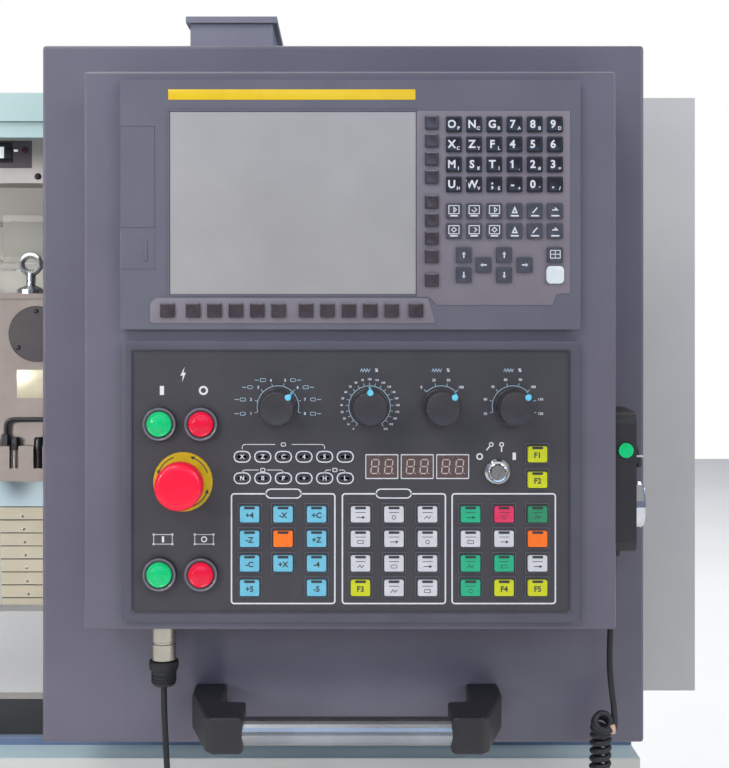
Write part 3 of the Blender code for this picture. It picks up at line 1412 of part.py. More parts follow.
def display_keys(front):
    """The keys of the display unit: a row under the screen, a column beside it and the data keys."""
    soft = list(SOFT_ROW_ENDS)
    soft += [start + i * SOFT_ROW_PITCH for start in SOFT_ROW_STARTS for i in range(SOFT_ROW_COUNT)]
    keys = [key_block(u, SOFT_ROW_V, SOFT_KEY, SOFT_KEY, front, KEY_RISE) for u in soft]
    side = [start - i * SIDE_KEY_PITCH for start in SIDE_KEY_STARTS for i in range(SIDE_KEY_COUNT)]
    side.append(SIDE_KEY_LAST)
    keys += [key_block(SIDE_KEY_U, v, SIDE_KEY, SIDE_KEY, front, KEY_RISE) for v in side]
    rows = [DATA_KEY_V - i * DATA_ROW_PITCH for i in range(DATA_KEY_ROWS)]
    rows += [EDIT_KEY_V - i * DATA_ROW_PITCH for i in range(EDIT_KEY_ROWS)]
    places = [(DATA_KEY_U + i * DATA_KEY_PITCH, v) for v in rows for i in range(DATA_KEY_COLUMNS)]
    last_u = DATA_KEY_U + (DATA_KEY_COLUMNS - 1) * DATA_KEY_PITCH
    for way in (-1, 1):
        places.append((CURSOR_U + way * CURSOR_OUT, CURSOR_V))
        places.append((CURSOR_U, CURSOR_V + way * CURSOR_UP))
        places.append((PAGE_KEY_U, CURSOR_V + way * CURSOR_UP))
    places.append((last_u, CURSOR_V + CURSOR_UP))
    keys += [key_block(u, v, DATA_KEY, DATA_KEY, front, KEY_RISE) for u, v in places]
    keys.append(key_block(last_u, CURSOR_V - CURSOR_UP, RESET_KEY, RESET_KEY, front, KEY_RISE))
    return keys


def make_display(pivot):
    """The display unit: one moulding with its keys, the screen in its recess and the memory card cover."""
    seat = CONSOLE_FACE - GAP
    front = seat - PANEL_SHEET
    half = DISPLAY_WIDTH / 2
    x0, z0 = place(-half, DISPLAY_LOW)
    x1, z1 = place(half, DISPLAY_HIGH)
    body = prism(rounded((x0, x1), (z0, z1), DISPLAY_ROUND, 3), "Y", front, seat)
    a, c = place(SCREEN_LEFT, SCREEN_LOW)
    b, d = place(SCREEN_RIGHT, SCREEN_HIGH)
    well = block((a, b), (front - OVERRUN, front + SCREEN_SINK), (c, d))
    e, g = place(CARD_LEFT, CARD_LOW)
    f, h = place(CARD_RIGHT, CARD_HIGH)
    slot = block((e - OVERRUN, f), (front - OVERRUN, front + CARD_SINK), (g, h))
    port_tall = (place(0, PORT_LOW)[1], place(0, PORT_HIGH)[1])
    port = block((e - OVERRUN, f), (front - OVERRUN, front + PORT_SINK), port_tall)
    mesh = shaped(body, add=[key_zones(front)], cut=[well, slot, port])
    solid("display_unit", DARK_SLATE, mesh, add=[together(display_keys(front))], pivot=pivot)
    sheet_rear = front + SCREEN_SINK - GAP
    film = block((a + GAP, b - GAP), (sheet_rear - SCREEN_SHEET, sheet_rear), (c + GAP, d - GAP))
    solid("screen", SCREEN, film, pivot=pivot)
    card_rear = front + CARD_SINK - GAP
    cover = block((e + GAP, f - GAP), (card_rear - CARD_SHEET, card_rear), (g + GAP, h - GAP))
    solid("card_cover", DARK_SLATE, cover, pivot=(e + GAP, card_rear - CARD_SHEET, (g + h) / 2))


def make_operator_panel(pivot):
    """The operator panel: a framed plate with button bezels, membrane keys and the bores of its switches."""
    seat = CONSOLE_FACE - GAP
    front = seat - PANEL_SHEET
    face = front + PANEL_RIM_RISE
    x0, z0 = place(PANEL_LEFT, PANEL_LOW)
    x1, z1 = place(PANEL_RIGHT, PANEL_HIGH)
    plate = prism(rounded((x0, x1), (z0, z1), DISPLAY_ROUND, 3), "Y", front, seat)
    rim = PANEL_RIM
    well = block((x0 + rim, x1 - rim), (front - OVERRUN, face), (z0 + rim, z1 - rim))
    mesh = shaped(plate, cut=[well])
    bezels, keys, bores = [], [], []
    bore_floor = face + CAP_BORE_DEPTH
    for v in (POWER_V, CYCLE_V):
        for u in BUTTON_U:
            spot = place(u, v)
            bezels.append(rod("Y", spot, BEZEL_RADIUS, face - BEZEL_RISE, face + GAP, SMALL_SIDES))
            wide = CAP_RADIUS + CAP_CLEARANCE
            bores.append(rod("Y", spot, wide, face - CAP_RISE, bore_floor, SMALL_SIDES))
    spot = place(ESTOP_U, ESTOP_V)
    ring = turned(
        "Y",
        spot,
        (
            (face + GAP, ESTOP_RING),
            (face - ESTOP_RING_RISE, ESTOP_RING),
            (face - ESTOP_RING_RISE, ESTOP_NECK),
            (face - ESTOP_NECK_RISE, ESTOP_NECK),
        ),
    )
    wide = ESTOP_STEM + CAP_CLEARANCE
    bores.append(rod("Y", spot, wide, face - ESTOP_NECK_RISE - OVERRUN, bore_floor, SMALL_SIDES))
    spot = place(LOCK_U, LOCK_V)
    collar = rod("Y", spot, LOCK_COLLAR, face - LOCK_COLLAR_RISE, face + GAP, SMALL_SIDES)
    wide = LOCK_BARREL + CAP_CLEARANCE
    bores.append(rod("Y", spot, wide, face - LOCK_COLLAR_RISE - OVERRUN, bore_floor, STUD_SIDES))
    for v in FIELD_KEY_V:
        keys.append(key_block(FIELD_KEY_U, v, *MEMBRANE_KEY, face, MEMBRANE_RISE))
    for g, middle in enumerate(MEMBRANE_U):
        for r in range(MEMBRANE_ROWS):
            for c in range(MEMBRANE_COLUMNS):
                if (g, r, c) != BLANK_KEY:
                    u = middle + (c - (MEMBRANE_COLUMNS - 1) / 2) * MEMBRANE_PITCH[0]
                    v = MEMBRANE_V - r * MEMBRANE_PITCH[1]
                    keys.append(key_block(u, v, *MEMBRANE_KEY, face, MEMBRANE_RISE))
    solid(
        "operator_panel",
        PANEL_BLACK,
        mesh,
        add=[together(bezels), ring, collar, together(keys)],
        cut=[together(bores)],
        pivot=pivot,
    )
    make_buttons(face)
    make_knobs(face)
    make_lock(face)


def make_buttons(face):
    """Four push button caps in their bezels, and the emergency stop's mushroom head."""
    rear = face + CAP_BORE_DEPTH - BUTTON_TRAVEL - GAP
    looks = (GREEN, RED)
    for name, v, ends in (("power", POWER_V, ("on", "off")), ("cycle", CYCLE_V, ("start", "stop"))):
        for u, end, look in zip(BUTTON_U, ends, looks):
            cap = turned(
                "Y",
                place(u, v),
                (
                    (rear, CAP_RADIUS),
                    (face - CAP_RISE + CAP_DOME, CAP_RADIUS),
                    (face - CAP_RISE, CAP_RADIUS - CAP_DOME),
                ),
                SMALL_SIDES,
            )
            x, z = place(u, v)
            solid(f"{name}_{end}_button", look, cap, pivot=(x, face, z))
    x, z = place(ESTOP_U, ESTOP_V)
    dome = ESTOP_DOME
    head = turned(
        "Y",
        (x, z),
        (
            (face + CAP_BORE_DEPTH - ESTOP_TRAVEL - GAP, ESTOP_STEM),
            (face - ESTOP_HEAD_LOW, ESTOP_STEM),
            (face - ESTOP_HEAD_LOW, ESTOP_HEAD - dome / 2),
            (face - ESTOP_HEAD_LOW - dome, ESTOP_HEAD),
            (face - ESTOP_RISE + dome / 2, ESTOP_HEAD - dome / 4),
            (face - ESTOP_RISE, ESTOP_HEAD - dome),
        ),
    )
    solid("estop_button", RED, head, pivot=(x, face, z))


def make_knobs(face):
    """Four rotary switch knobs with a skirt, a fluted grip and a pointer ridge."""
    seat = face - GAP
    for name, u, angle in zip(KNOB_NAMES, KNOB_U, KNOB_ANGLES):
        x, z = place(u, KNOB_V)
        skirt = rod("Y", (x, z), KNOB_RADIUS, seat - KNOB_SKIRT, seat, SMALL_SIDES)
        grip = []
        teeth = 2 * KNOB_FLUTES
        for i in range(2 * teeth):
            far = KNOB_TOP_RADIUS if i % 4 < 2 else KNOB_TOP_RADIUS - KNOB_FLUTE_DEPTH
            turn = math.tau * i / (2 * teeth)
            grip.append((x + far * math.cos(turn), z + far * math.sin(turn)))
        upper = prism(grip, "Y", seat - KNOB_RISE, seat - KNOB_SKIRT + GAP)
        ridge = block(
            centred(x, KNOB_POINTER),
            (seat - KNOB_RISE - 2 * GAP, seat - KNOB_SKIRT / 2),
            (z, z + KNOB_RADIUS - GAP),
        )
        turn = Matrix.Rotation(math.radians(angle), 4, "Y")
        lean = Matrix.Translation((x, 0, z)) @ turn @ Matrix.Translation((-x, 0, -z))
        solid(name, BLACK, skirt, add=[upper, moved(ridge, lean)], pivot=(x, seat, z))


def make_lock(face):
    """The key switch's barrel with its slot."""
    x, z = place(LOCK_U, LOCK_V)
    rear = face + CAP_BORE_DEPTH - GAP
    barrel = rod("Y", (x, z), LOCK_BARREL, face - LOCK_RISE, rear, STUD_SIDES)
    slot = block(
        centred(x, LOCK_SLOT),
        (face - LOCK_RISE - OVERRUN, face - LOCK_RISE + LOCK_SLOT_DEPTH),
        centred(z, LOCK_SLOT_LENGTH),
    )
    solid("key_switch", CHROME, barrel, cut=[slot], pivot=(x, face, z))


def make_handle():
    """The push handle: two tapered brackets on the back box and a round bar between them."""
    foot = BOX_FRONT - GAP
    tall = centred(HANDLE_Z, 2 * HANDLE_HALF)
    turn_in = HANDLE_FRONT + HANDLE_HEAD_DEPTH
    corner = HANDLE_ROUND * 2
    for name, side in (("left", -1), ("right", 1)):
        outline = (
            (HANDLE_FOOT_OUT, foot),
            (HANDLE_FOOT_OUT, foot - HANDLE_STRAIGHT),
            (HANDLE_HEAD_OUT, HANDLE_FRONT + corner),
            (HANDLE_HEAD_OUT - corner, HANDLE_FRONT),
            (HANDLE_HEAD_IN + corner / 2, HANDLE_FRONT),
            (HANDLE_HEAD_IN, HANDLE_FRONT + corner / 2),
            (HANDLE_HEAD_IN, turn_in),
            (HANDLE_FOOT_OUT - HANDLE_FOOT_WIDTH, turn_in + HANDLE_ROUND),
            (HANDLE_FOOT_OUT - HANDLE_FOOT_WIDTH, foot),
        )
        shape = prism([(HANDLE_CENTRE + side * a, b) for a, b in outline], "Z", *tall)
        inner = HANDLE_CENTRE + side * HANDLE_HEAD_IN
        bore = rod(
            "X",
            (HANDLE_BAR_Y, HANDLE_Z),
            HANDLE_BAR_RADIUS + GAP,
            *centred(inner, 2 * HANDLE_BAR_SINK),
            BAR_SIDES,
        )
        solid(f"handle_bracket_{name}", BLACK, softened(shape, HANDLE_ROUND / 2, 1), cut=[bore])
    ends = centred(HANDLE_CENTRE, 2 * (HANDLE_HEAD_IN + HANDLE_BAR_SINK - GAP))
    bar = rod("X", (HANDLE_BAR_Y, HANDLE_Z), HANDLE_BAR_RADIUS, *ends, BAR_SIDES)
    solid("handle_bar", ALUMINIUM, bar)


def make_hand_unit():
    """The hand unit on the console's side: case with gland and selector, hand wheel and enabling button."""
    left = CONSOLE_X + CONSOLE_WIDTH / 2 + MPG_LEFT_GAP
    right = left + MPG_WIDTH
    deep = (MPG_FRONT, MPG_REAR)
    case = prism(rounded(deep, (MPG_LOW, MPG_HIGH), MPG_ROUND), "X", left, right)
    middle = (MPG_FRONT + MPG_REAR) / 2
    knob_ends = (right - GAP, right + MPG_SELECTOR_RISE)
    selector = rod("X", (middle, MPG_LOW + MPG_SELECTOR_UP), MPG_SELECTOR_RADIUS, *knob_ends, STUD_SIDES)
    gland_ends = (MPG_LOW - GLAND_LENGTH, MPG_LOW + OVERRUN)
    gland = rod("Z", (CONSOLE_X + GLAND_OUT, CORD_Y), GLAND_RADIUS, *gland_ends, BOLT_SIDES)
    x = (left + right) / 2
    bore_ends = (MPG_FRONT - OVERRUN, MPG_FRONT + MPG_BUTTON_DEPTH)
    bore = rod("Y", (x, MPG_BUTTON_Z), MPG_BUTTON_RADIUS + GAP, *bore_ends, STUD_SIDES)
    solid("mpg_case", BLACK, case, add=[selector, gland], cut=[bore])
    button_ends = (MPG_FRONT - MPG_BUTTON_RISE, bore_ends[1] - MPG_BUTTON_TRAVEL - GAP)
    button = rod("Y", (x, MPG_BUTTON_Z), MPG_BUTTON_RADIUS, *button_ends, STUD_SIDES)
    solid("mpg_enable_button", GREEN, button, pivot=(x, MPG_FRONT, MPG_BUTTON_Z))
    seat = right + GAP
    rim = MPG_WHEEL_RADIUS
    wheel = turned(
        "X",
        (middle, MPG_WHEEL_Z),
        (
            (seat, rim - MPG_WHEEL_CHAMFER),
            (seat + MPG_WHEEL_CHAMFER, rim),
            (seat + MPG_WHEEL_WIDTH - MPG_WHEEL_CHAMFER, rim),
            (seat + MPG_WHEEL_WIDTH, rim - MPG_WHEEL_CHAMFER),
        ),
        BAR_SIDES,
    )
    crank = rod(
        "X",
        (middle, MPG_WHEEL_Z + MPG_CRANK_OUT),
        MPG_CRANK_RADIUS,
        seat + MPG_WHEEL_WIDTH - GAP,
        seat + MPG_WHEEL_WIDTH + MPG_CRANK_LENGTH,
        BOLT_SIDES,
    )
    solid("mpg_wheel", CHROME, wheel, add=[crank], pivot=(seat, middle, MPG_WHEEL_Z))


def make_cord():
    """The connector under the console, and the cord that hangs from it and comes up to the hand unit."""
    top = CONSOLE_Z - CONSOLE_HEIGHT / 2 - GAP
    boot_top = top - SOCKET_LENGTH
    boot_low = boot_top - BOOT_LENGTH
    plug = turned(
        "Z",
        (SOCKET_X, CORD_Y),
        (
            (top, SOCKET_NUT),
            (top - SOCKET_LENGTH / 4, SOCKET_NUT),
            (top - SOCKET_LENGTH / 4, SOCKET_RADIUS),
            (boot_top, SOCKET_RADIUS),
            (boot_top, BOOT_TOP_RADIUS),
            (boot_top - BOOT_LENGTH / 3, BOOT_TOP_RADIUS),
            (boot_top - BOOT_LENGTH / 2, BOOT_WAIST_RADIUS),
            (boot_low + BOOT_LENGTH / 6, BOOT_WAIST_RADIUS),
            (boot_low, BOOT_RADIUS),
        ),
        STUD_SIDES,
    )
    solid("cord_connector", STEEL, plug)
    low, high = [(CONSOLE_X + out, CORD_Y, CONSOLE_Z - drop) for out, drop in zip(CURL_OUT, CURL_DROP)]
    lower = lead_route((SOCKET_X, boot_low - GAP), (low[0], low[2] - GAP), LOWER_LEAD_SHARES)
    gland_at = (CONSOLE_X + GLAND_OUT, MPG_LOW - GLAND_LENGTH - GAP)
    top_at = (CONSOLE_X + TOP_LEAD_OUT, CONSOLE_Z - TOP_LEAD_DROP)
    upper = lead_route(top_at, gland_at, UPPER_LEAD_SHARES)
    bend = arc((CORD_Y - CURL_BEND, high[2]), CURL_BEND, 0, CURL_TURN, CURL_TURN_STEPS)
    curl = through((low, high), CURL_POINTS) + [Vector((high[0], y, z)) for y, z in bend[1:]]
    lead("mpg_lead_lower", RUBBER, through(lower, LEAD_POINTS), LEAD_RADIUS, 2)
    lead("mpg_curly_cord", RUBBER, curl, CURL_RADIUS, 3)
    lead("mpg_lead_upper", RUBBER, through(upper, SHORT_LEAD_POINTS), LEAD_RADIUS, 2)


def lead_route(start, end, shares):
    """Points of a lead: its sway to the right as a share of its height, and a share of the way to its end."""
    across, up = end[0] - start[0], end[1] - start[1]
    return [(start[0] + b * across + a * abs(up), CORD_Y, start[1] + b * up) for a, b in shares]


bpy.context.scene.unit_settings.scale_length = 1
for old in list(bpy.data.objects):
    bpy.data.objects.remove(old)

make_base()
make_covers()
make_lamp()
make_door()
make_spindle()
make_carriage()
make_turret()
make_tailstock()
make_cabinet()
make_arm()
make_pendant_box()
make_console_box()
console_pivot = bpy.data.objects["console_box"].location[:]
make_display(console_pivot)
make_operator_panel(console_pivot)
make_handle()
make_hand_unit()
make_cord()
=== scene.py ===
import math

import bmesh
import bpy
from mathutils import Matrix, Vector


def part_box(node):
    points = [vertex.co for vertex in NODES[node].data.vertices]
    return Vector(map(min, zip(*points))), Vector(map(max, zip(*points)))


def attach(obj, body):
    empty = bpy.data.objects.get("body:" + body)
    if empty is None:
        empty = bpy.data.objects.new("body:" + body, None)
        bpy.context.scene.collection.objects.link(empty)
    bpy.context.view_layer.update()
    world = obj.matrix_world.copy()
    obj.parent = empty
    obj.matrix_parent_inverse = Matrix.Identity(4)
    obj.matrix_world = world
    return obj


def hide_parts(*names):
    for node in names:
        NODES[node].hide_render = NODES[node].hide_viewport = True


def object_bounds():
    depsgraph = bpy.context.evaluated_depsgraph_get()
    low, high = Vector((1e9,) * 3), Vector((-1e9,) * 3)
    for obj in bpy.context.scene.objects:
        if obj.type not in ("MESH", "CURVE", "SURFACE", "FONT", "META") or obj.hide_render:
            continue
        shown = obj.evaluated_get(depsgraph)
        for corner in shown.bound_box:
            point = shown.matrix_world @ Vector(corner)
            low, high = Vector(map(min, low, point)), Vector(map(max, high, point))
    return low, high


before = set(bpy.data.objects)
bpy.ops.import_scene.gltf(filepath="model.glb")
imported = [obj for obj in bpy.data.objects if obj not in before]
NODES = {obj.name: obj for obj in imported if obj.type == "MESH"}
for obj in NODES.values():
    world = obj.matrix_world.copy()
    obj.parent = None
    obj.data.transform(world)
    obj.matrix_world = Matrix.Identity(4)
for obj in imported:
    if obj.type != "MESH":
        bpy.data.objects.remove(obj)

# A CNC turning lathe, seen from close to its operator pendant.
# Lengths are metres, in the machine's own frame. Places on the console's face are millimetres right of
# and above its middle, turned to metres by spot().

cad_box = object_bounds()
MM = 0.001

# The console's middle and the depths of its two faces, from the machine's own sizes
CONSOLE_X = 0.938
CONSOLE_Z = 1.3162
DISPLAY_FACE = -0.850
PANEL_FACE = -0.8485
# The console's middle in the photograph, and the size of a pixel there in mm
MIDDLE_PX = (350.25, 350.9)
PIXEL_MM = 0.86
# How far print stands out of a face and reaches into it
INK = 0.00008
SINK = 0.00005
# Height of a capital as a share of the letters' size, and how much the strokes are thickened
CAPITAL_SHARE = 0.70
BOLDNESS = 0.042


def camera_at(place, focal_px, axis_px, long_px, frame_px):
    """A level camera that looks along +Y, with its optical axis at a pixel of the picture."""
    made = bpy.data.cameras.new("photo_camera")
    made.sensor_width = 36.0
    made.lens = made.sensor_width * focal_px / long_px
    made.shift_x = (frame_px[0] / 2 - axis_px[0]) / long_px
    made.shift_y = (axis_px[1] - frame_px[1] / 2) / long_px
    made.clip_start = 0.05
    made.clip_end = 60.0
    held = bpy.data.objects.new("photo_camera", made)
    bpy.context.scene.collection.objects.link(held)
    held.location = place
    held.rotation_euler = (math.radians(90), 0, 0)
    bpy.context.scene.camera = held


camera_at(
    place=(0.93, -1.95, 1.36),
    focal_px=1279.0,
    axis_px=(341.0, 300.0),
    long_px=768.0,
    frame_px=(729.0, 768.0),
)


# Colour and finish

# Most values of a noise lie between these two, so tones and gloss are spread over them.
NOISE_LOW, NOISE_HIGH = 0.3, 0.7


def linear(level):
    """One channel of an sRGB colour, turned to linear light."""
    knee, slope, lift, power = 0.04045, 12.92, 0.055, 2.4
    return level / slope if level <= knee else ((level + lift) / (1 + lift)) ** power


def tone(code):
    """A linear colour from an sRGB hex code."""
    return [linear(int(code[i : i + 2], 16) / 255) for i in (0, 2, 4)] + [1.0]


def add_node(tree, kind, settings, links=()):
    """One node with its settings, and links from other nodes' outputs to its inputs."""
    made = tree.nodes.new(kind)
    for name, value in settings.items():
        if name in made.inputs:
            made.inputs[name].default_value = value
        else:
            setattr(made, name, value)
    for source, output, target in links:
        tree.links.new(source.outputs[output], made.inputs[target])
    return made


def surface(name, tones, gloss, patch, grain, depth, metal=0.0, stretch=(1, 1, 1), cells=False, **sockets):
    """A finish: colour that drifts between two tones over patches of so many mm, gloss that varies between
    two roughness values on the grain, and a relief of that grain in mm and depth in mm."""
    made = bpy.data.materials.new(name)
    made.use_nodes = True
    tree = made.node_tree
    shader = tree.nodes["Principled BSDF"]
    shader.inputs["Metallic"].default_value = metal
    for socket, value in sockets.items():
        shader.inputs[socket.replace("_", " ")].default_value = value
    where = add_node(tree, "ShaderNodeTexCoord", {})
    on_object = [(where, "Object", "Vector")]
    drawn = add_node(tree, "ShaderNodeMapping", {"Scale": stretch}, on_object)
    drifting = {"Scale": 1 / (patch * MM), "Detail": 4.0, "Roughness": 0.6}
    drift = add_node(tree, "ShaderNodeTexNoise", drifting, on_object)
    ramp = add_node(tree, "ShaderNodeValToRGB", {}, [(drift, "Fac", "Fac")])
    for stop, place, code in zip(ramp.color_ramp.elements, (NOISE_LOW, NOISE_HIGH), tones):
        stop.position, stop.color = place, tone(code)
    tree.links.new(ramp.outputs["Color"], shader.inputs["Base Color"])
    kind, output = ("ShaderNodeTexVoronoi", "Distance") if cells else ("ShaderNodeTexNoise", "Fac")
    fine = add_node(tree, kind, {"Scale": 1 / (grain * MM)}, [(drawn, "Vector", "Vector")])
    spans = {"From Min": NOISE_LOW, "From Max": NOISE_HIGH, "To Min": gloss[0], "To Max": gloss[1]}
    dull = add_node(tree, "ShaderNodeMapRange", spans, [(fine, output, "Value")])
    tree.links.new(dull.outputs["Result"], shader.inputs["Roughness"])
    bumps = {"Strength": 1.0, "Distance": depth * MM}
    relief = add_node(tree, "ShaderNodeBump", bumps, [(fine, output, "Height")])
    tree.links.new(relief.outputs["Normal"], shader.inputs["Normal"])
    return made


# Semi-gloss powder coat: orange peel of 1 mm breaks up the studio's reflections. The arm has the same coat,
# painted a shade paler than the pendant: painted light for the daylight that falls on it.
arm_coat_painted_paler = surface("slate_coat_painted_paler_for_daylight", ("7C7A86", "868490"), (0.30, 0.42), 160, 1.1, 0.012)
slate_coat = surface("slate_powder_coat", ("625E6A", "6C6874"), (0.30, 0.42), 160, 1.1, 0.012)
# The display's bezel: a fine textured moulding, dull and even.
bezel_plastic = surface("bezel_moulded_plastic", ("5F5E69", "67656F"), (0.42, 0.54), 60, 0.35, 0.010)
# The raised moulding round the keys: the same texture, warmer and lighter.
zone_plastic = surface("keypad_moulded_plastic", ("777078", "7E777E"), (0.42, 0.54), 40, 0.35, 0.010)
# Printed polyester film over the switch plate: flat black-grey with a soft sheen.
panel_film = surface("switch_panel_film", ("3D3A3E", "444145"), (0.40, 0.50), 50, 0.25, 0.004)
# The switch plate's rim round the film: a bluish grey painted lighter than the film, a painted highlight
# where the edge catches the light.
rim_painted_highlight = surface("switch_panel_rim_painted_highlight", ("4C4B56", "55545F"), (0.36, 0.48), 60, 0.4, 0.008)
# Frames round the lit keys: a thin grey line against the film.
frame_grey = surface("grey_key_frames", ("5E5D66", "686770"), (0.40, 0.50), 30, 0.4, 0.004)
# Gloss black key tops: smooth, so that the soft box shows as a clear patch on each.
key_black = surface("gloss_black_keys", ("1D1A1F", "272328"), (0.16, 0.26), 6, 0.4, 0.003)
# Soft keys: smoked brown and as glossy.
key_smoke = surface("smoke_brown_keys", ("3A3237", "4A4145"), (0.14, 0.24), 8, 0.4, 0.003)
# Keys of the lower rows: a shade lighter and a little duller than the letter keys.
key_grey = surface("dark_grey_keys", ("42424A", "4E4E56"), (0.20, 0.30), 8, 0.4, 0.003)
# The reset key: off-white, satin.
key_white = surface("white_reset_key", ("D5DCDC", "E2E7E6"), (0.28, 0.36), 8, 0.4, 0.003)
# Screen printing inks, white, dark and the dials' pale blue: solid, dull, faintly uneven.
# The grey is no ink but a painted highlight along the soft keys' top edges, as dull.
ink_white = surface("white_screen_ink", ("D6D5D8", "E2E1E4"), (0.45, 0.6), 4, 0.3, 0.002)
top_edge_painted_highlight = surface("grey_painted_highlight", ("8A8A94", "9898A2"), (0.45, 0.6), 4, 0.3, 0.002)
ink_dark = surface("dark_screen_ink", ("33353B", "3F4046"), (0.45, 0.6), 4, 0.3, 0.002)
ink_dial = surface("pale_blue_dial_ink", ("A9C4D4", "BBD2DE"), (0.45, 0.6), 4, 0.3, 0.002)
# The knobs' pointers: clear light blue plastic colour on black.
pointer_blue = surface("light_blue_pointer", ("59C4E2", "74D2EA"), (0.35, 0.45), 4, 0.3, 0.002)
# The strip over the screen: a smooth yellow label.
stripe_yellow = surface("yellow_label_strip", ("E5BC08", "EDC814"), (0.30, 0.38), 25, 0.5, 0.002)
# The screen lies behind a clear sheet, so the coat gives the sharp reflection over a dull grey.
screen_coat = {"Coat_Weight": 0.35, "Coat_Roughness": 0.08}
screen_grey = surface("unlit_screen", ("9A9795", "A6A3A1"), (0.36, 0.46), 120, 0.5, 0.002, **screen_coat)
# The emergency stop: gloss red moulding over a duller yellow ring.
estop_red = surface("gloss_red_mushroom", ("FA0834", "FF143E"), (0.24, 0.32), 15, 0.5, 0.004)
ring_yellow = surface("yellow_stop_ring", ("CCA600", "D6B20A"), (0.38, 0.48), 12, 0.4, 0.004)
# Push button lenses: saturated and glossy, with a little light let through.
lens_glow = {"Transmission_Weight": 0.05}
lens_red = surface("red_lens", ("E80034", "F4063C"), (0.20, 0.30), 8, 0.8, 0.010, **lens_glow)
lens_green = surface("green_lens", ("00C070", "04D27C"), (0.20, 0.30), 8, 0.8, 0.010, **lens_glow)
# Rings round the push buttons: satin metal that draws a pale circle.
bezel_metal = surface("satin_bezel_rings", ("77747B", "848188"), (0.28, 0.40), 5, 0.3, 0.004, 0.6)
# Knobs and other black mouldings: satin black, the knobs a shade lighter.
knob_black = surface("black_knob_plastic", ("343135", "3E3A3D"), (0.34, 0.46), 14, 0.3, 0.008)
black_plastic = surface("black_moulded_plastic", ("232125", "2B292D"), (0.38, 0.52), 40, 0.4, 0.012)
# Bare metals: the grain is stretched along the brushing, turning or grinding, so highlights are drawn out.
along_x, round_x, ground = (0.03, 1, 1), (1, 0.05, 0.05), (0.05, 1, 1)
brushed_bar = surface("brushed_aluminium", ("999B9F", "ABADB1"), (0.26, 0.40), 60, 0.5, 0.006, 1.0, along_x)
turned_steel = surface("turned_steel", ("A9A9AC", "B9B9BC"), (0.22, 0.36), 40, 0.6, 0.006, 1.0, round_x)
ground_steel = surface("ground_steel", ("BEBFC3", "CCCDD0"), (0.16, 0.26), 50, 0.4, 0.003, 1.0, ground)
# Plated metals: chrome is a near mirror, nickel is warmer and softer.
chrome = surface("polished_chrome", ("CFD1D4", "DCDEE0"), (0.06, 0.14), 10, 1.5, 0.002, 1.0)
nickel = surface("satin_nickel", ("C4BCAC", "D2CBBD"), (0.20, 0.32), 8, 0.4, 0.003, 1.0)
# Enamel on the outer sheets: broad pale tones with a faint orange peel.
cream_enamel = surface("cream_enamel", ("C4C3BB", "CECDC6"), (0.36, 0.48), 300, 1.6, 0.018)
cover_enamel = surface("end_cover_enamel", ("CBCAC9", "D5D4D3"), (0.38, 0.50), 260, 1.4, 0.015)
grey_enamel = surface("light_grey_enamel", ("BAB9B7", "C4C3C1"), (0.38, 0.50), 260, 1.4, 0.015)
green_enamel = surface("pale_green_enamel", ("9DB4B2", "A8BEBC"), (0.38, 0.50), 260, 1.4, 0.015)
# Inside the machine: dull beige enamel, and a rougher, darker one where it covers the skin of a casting.
inner_enamel = surface("inner_beige_enamel", ("BDB5B0", "C8C1BC"), (0.50, 0.64), 140, 1.8, 0.020)
cast_enamel = surface("enamel_on_rough_casting", ("93867F", "A0938C"), (0.48, 0.62), 60, 3.2, 0.10)
# The way cover's plates: smooth cream, and pale blue where the cross slide leads them.
plate_enamel = surface("cream_cover_plates", ("D0C6AE", "DAD0BA"), (0.34, 0.46), 90, 1.2, 0.010)
apron_blue = surface("pale_blue_apron", ("C6DEEA", "D2E6F0"), (0.36, 0.46), 90, 1.2, 0.010)
# Folded sheets behind the turret: dull greys. Where a fold turns from the light its sheet is painted a
# darker grey, as painted shade.
sheet_enamel = surface("pale_sheet_enamel", ("9A9692", "A4A09C"), (0.46, 0.60), 120, 1.8, 0.020)
fold_painted_shade = surface("fold_enamel_painted_shade", ("7D7B76", "87847F"), (0.46, 0.60), 120, 1.8, 0.020)
# The base's ledge and the strip along its edge, satin: the ledge's top is painted pale blue, a painted
# reflection of the sky, the strip deep blue-grey, painted shade with a painted blue reflection.
ledge_painted_reflection = surface("ledge_enamel_painted_sky_reflection", ("B4CCD4", "C0D6DC"), (0.36, 0.46), 200, 1.4, 0.012)
strip_painted_shade_and_reflection = surface("edge_strip_painted_shade_and_reflection", ("5B6B88", "677792"), (0.36, 0.46), 80, 0.8, 0.008)
# The sill's floor: a near-black sheet, painted shade of the trough's inside, with small cells that keep it
# dull.
trough_painted_shade = surface("trough_floor_painted_shade", ("222429", "2B2D32"), (0.60, 0.75), 50, 0.9, 0.05, cells=True)
# The cord's sheath: matt black with fine tooling marks.
cord_rubber = surface("matt_cord_sheath", ("19191C", "242428"), (0.46, 0.60), 20, 0.5, 0.010)
# On the turret: a dark brown painted cover and a bare, slightly metallic name plate.
cover_brown = surface("dark_brown_cover_paint", ("352D30", "3D3538"), (0.40, 0.52), 30, 0.9, 0.010)
plate_brass = surface("pale_name_plate", ("C4BA9E", "CEC5AA"), (0.32, 0.42), 12, 0.3, 0.004, 0.2)
# Seals and feet: rubber that gives hardly any reflection.
seal_rubber = surface("rubber_seal", ("202022", "2B2B2E"), (0.62, 0.76), 30, 0.5, 0.012)
# The clip on the cord: a small beige spot against the black.
tie_beige = surface("beige_cord_clip", ("C9A88C", "D6B79C"), (0.40, 0.52), 6, 0.4, 0.006)
# Blackened screws: dark metal with a small highlight.
screw_black = surface("blackened_screws", ("242327", "2E2D31"), (0.30, 0.44), 10, 0.5, 0.006, 0.7)


def glass(name, code, roughness, weight):
    """A clear or tinted sheet, with fine wiping marks in its gloss."""
    made = surface(name, (code, code), (roughness, roughness + 0.08), 100, 4.0, 0.002)
    made.node_tree.nodes["Principled BSDF"].inputs["Transmission Weight"].default_value = weight
    return made


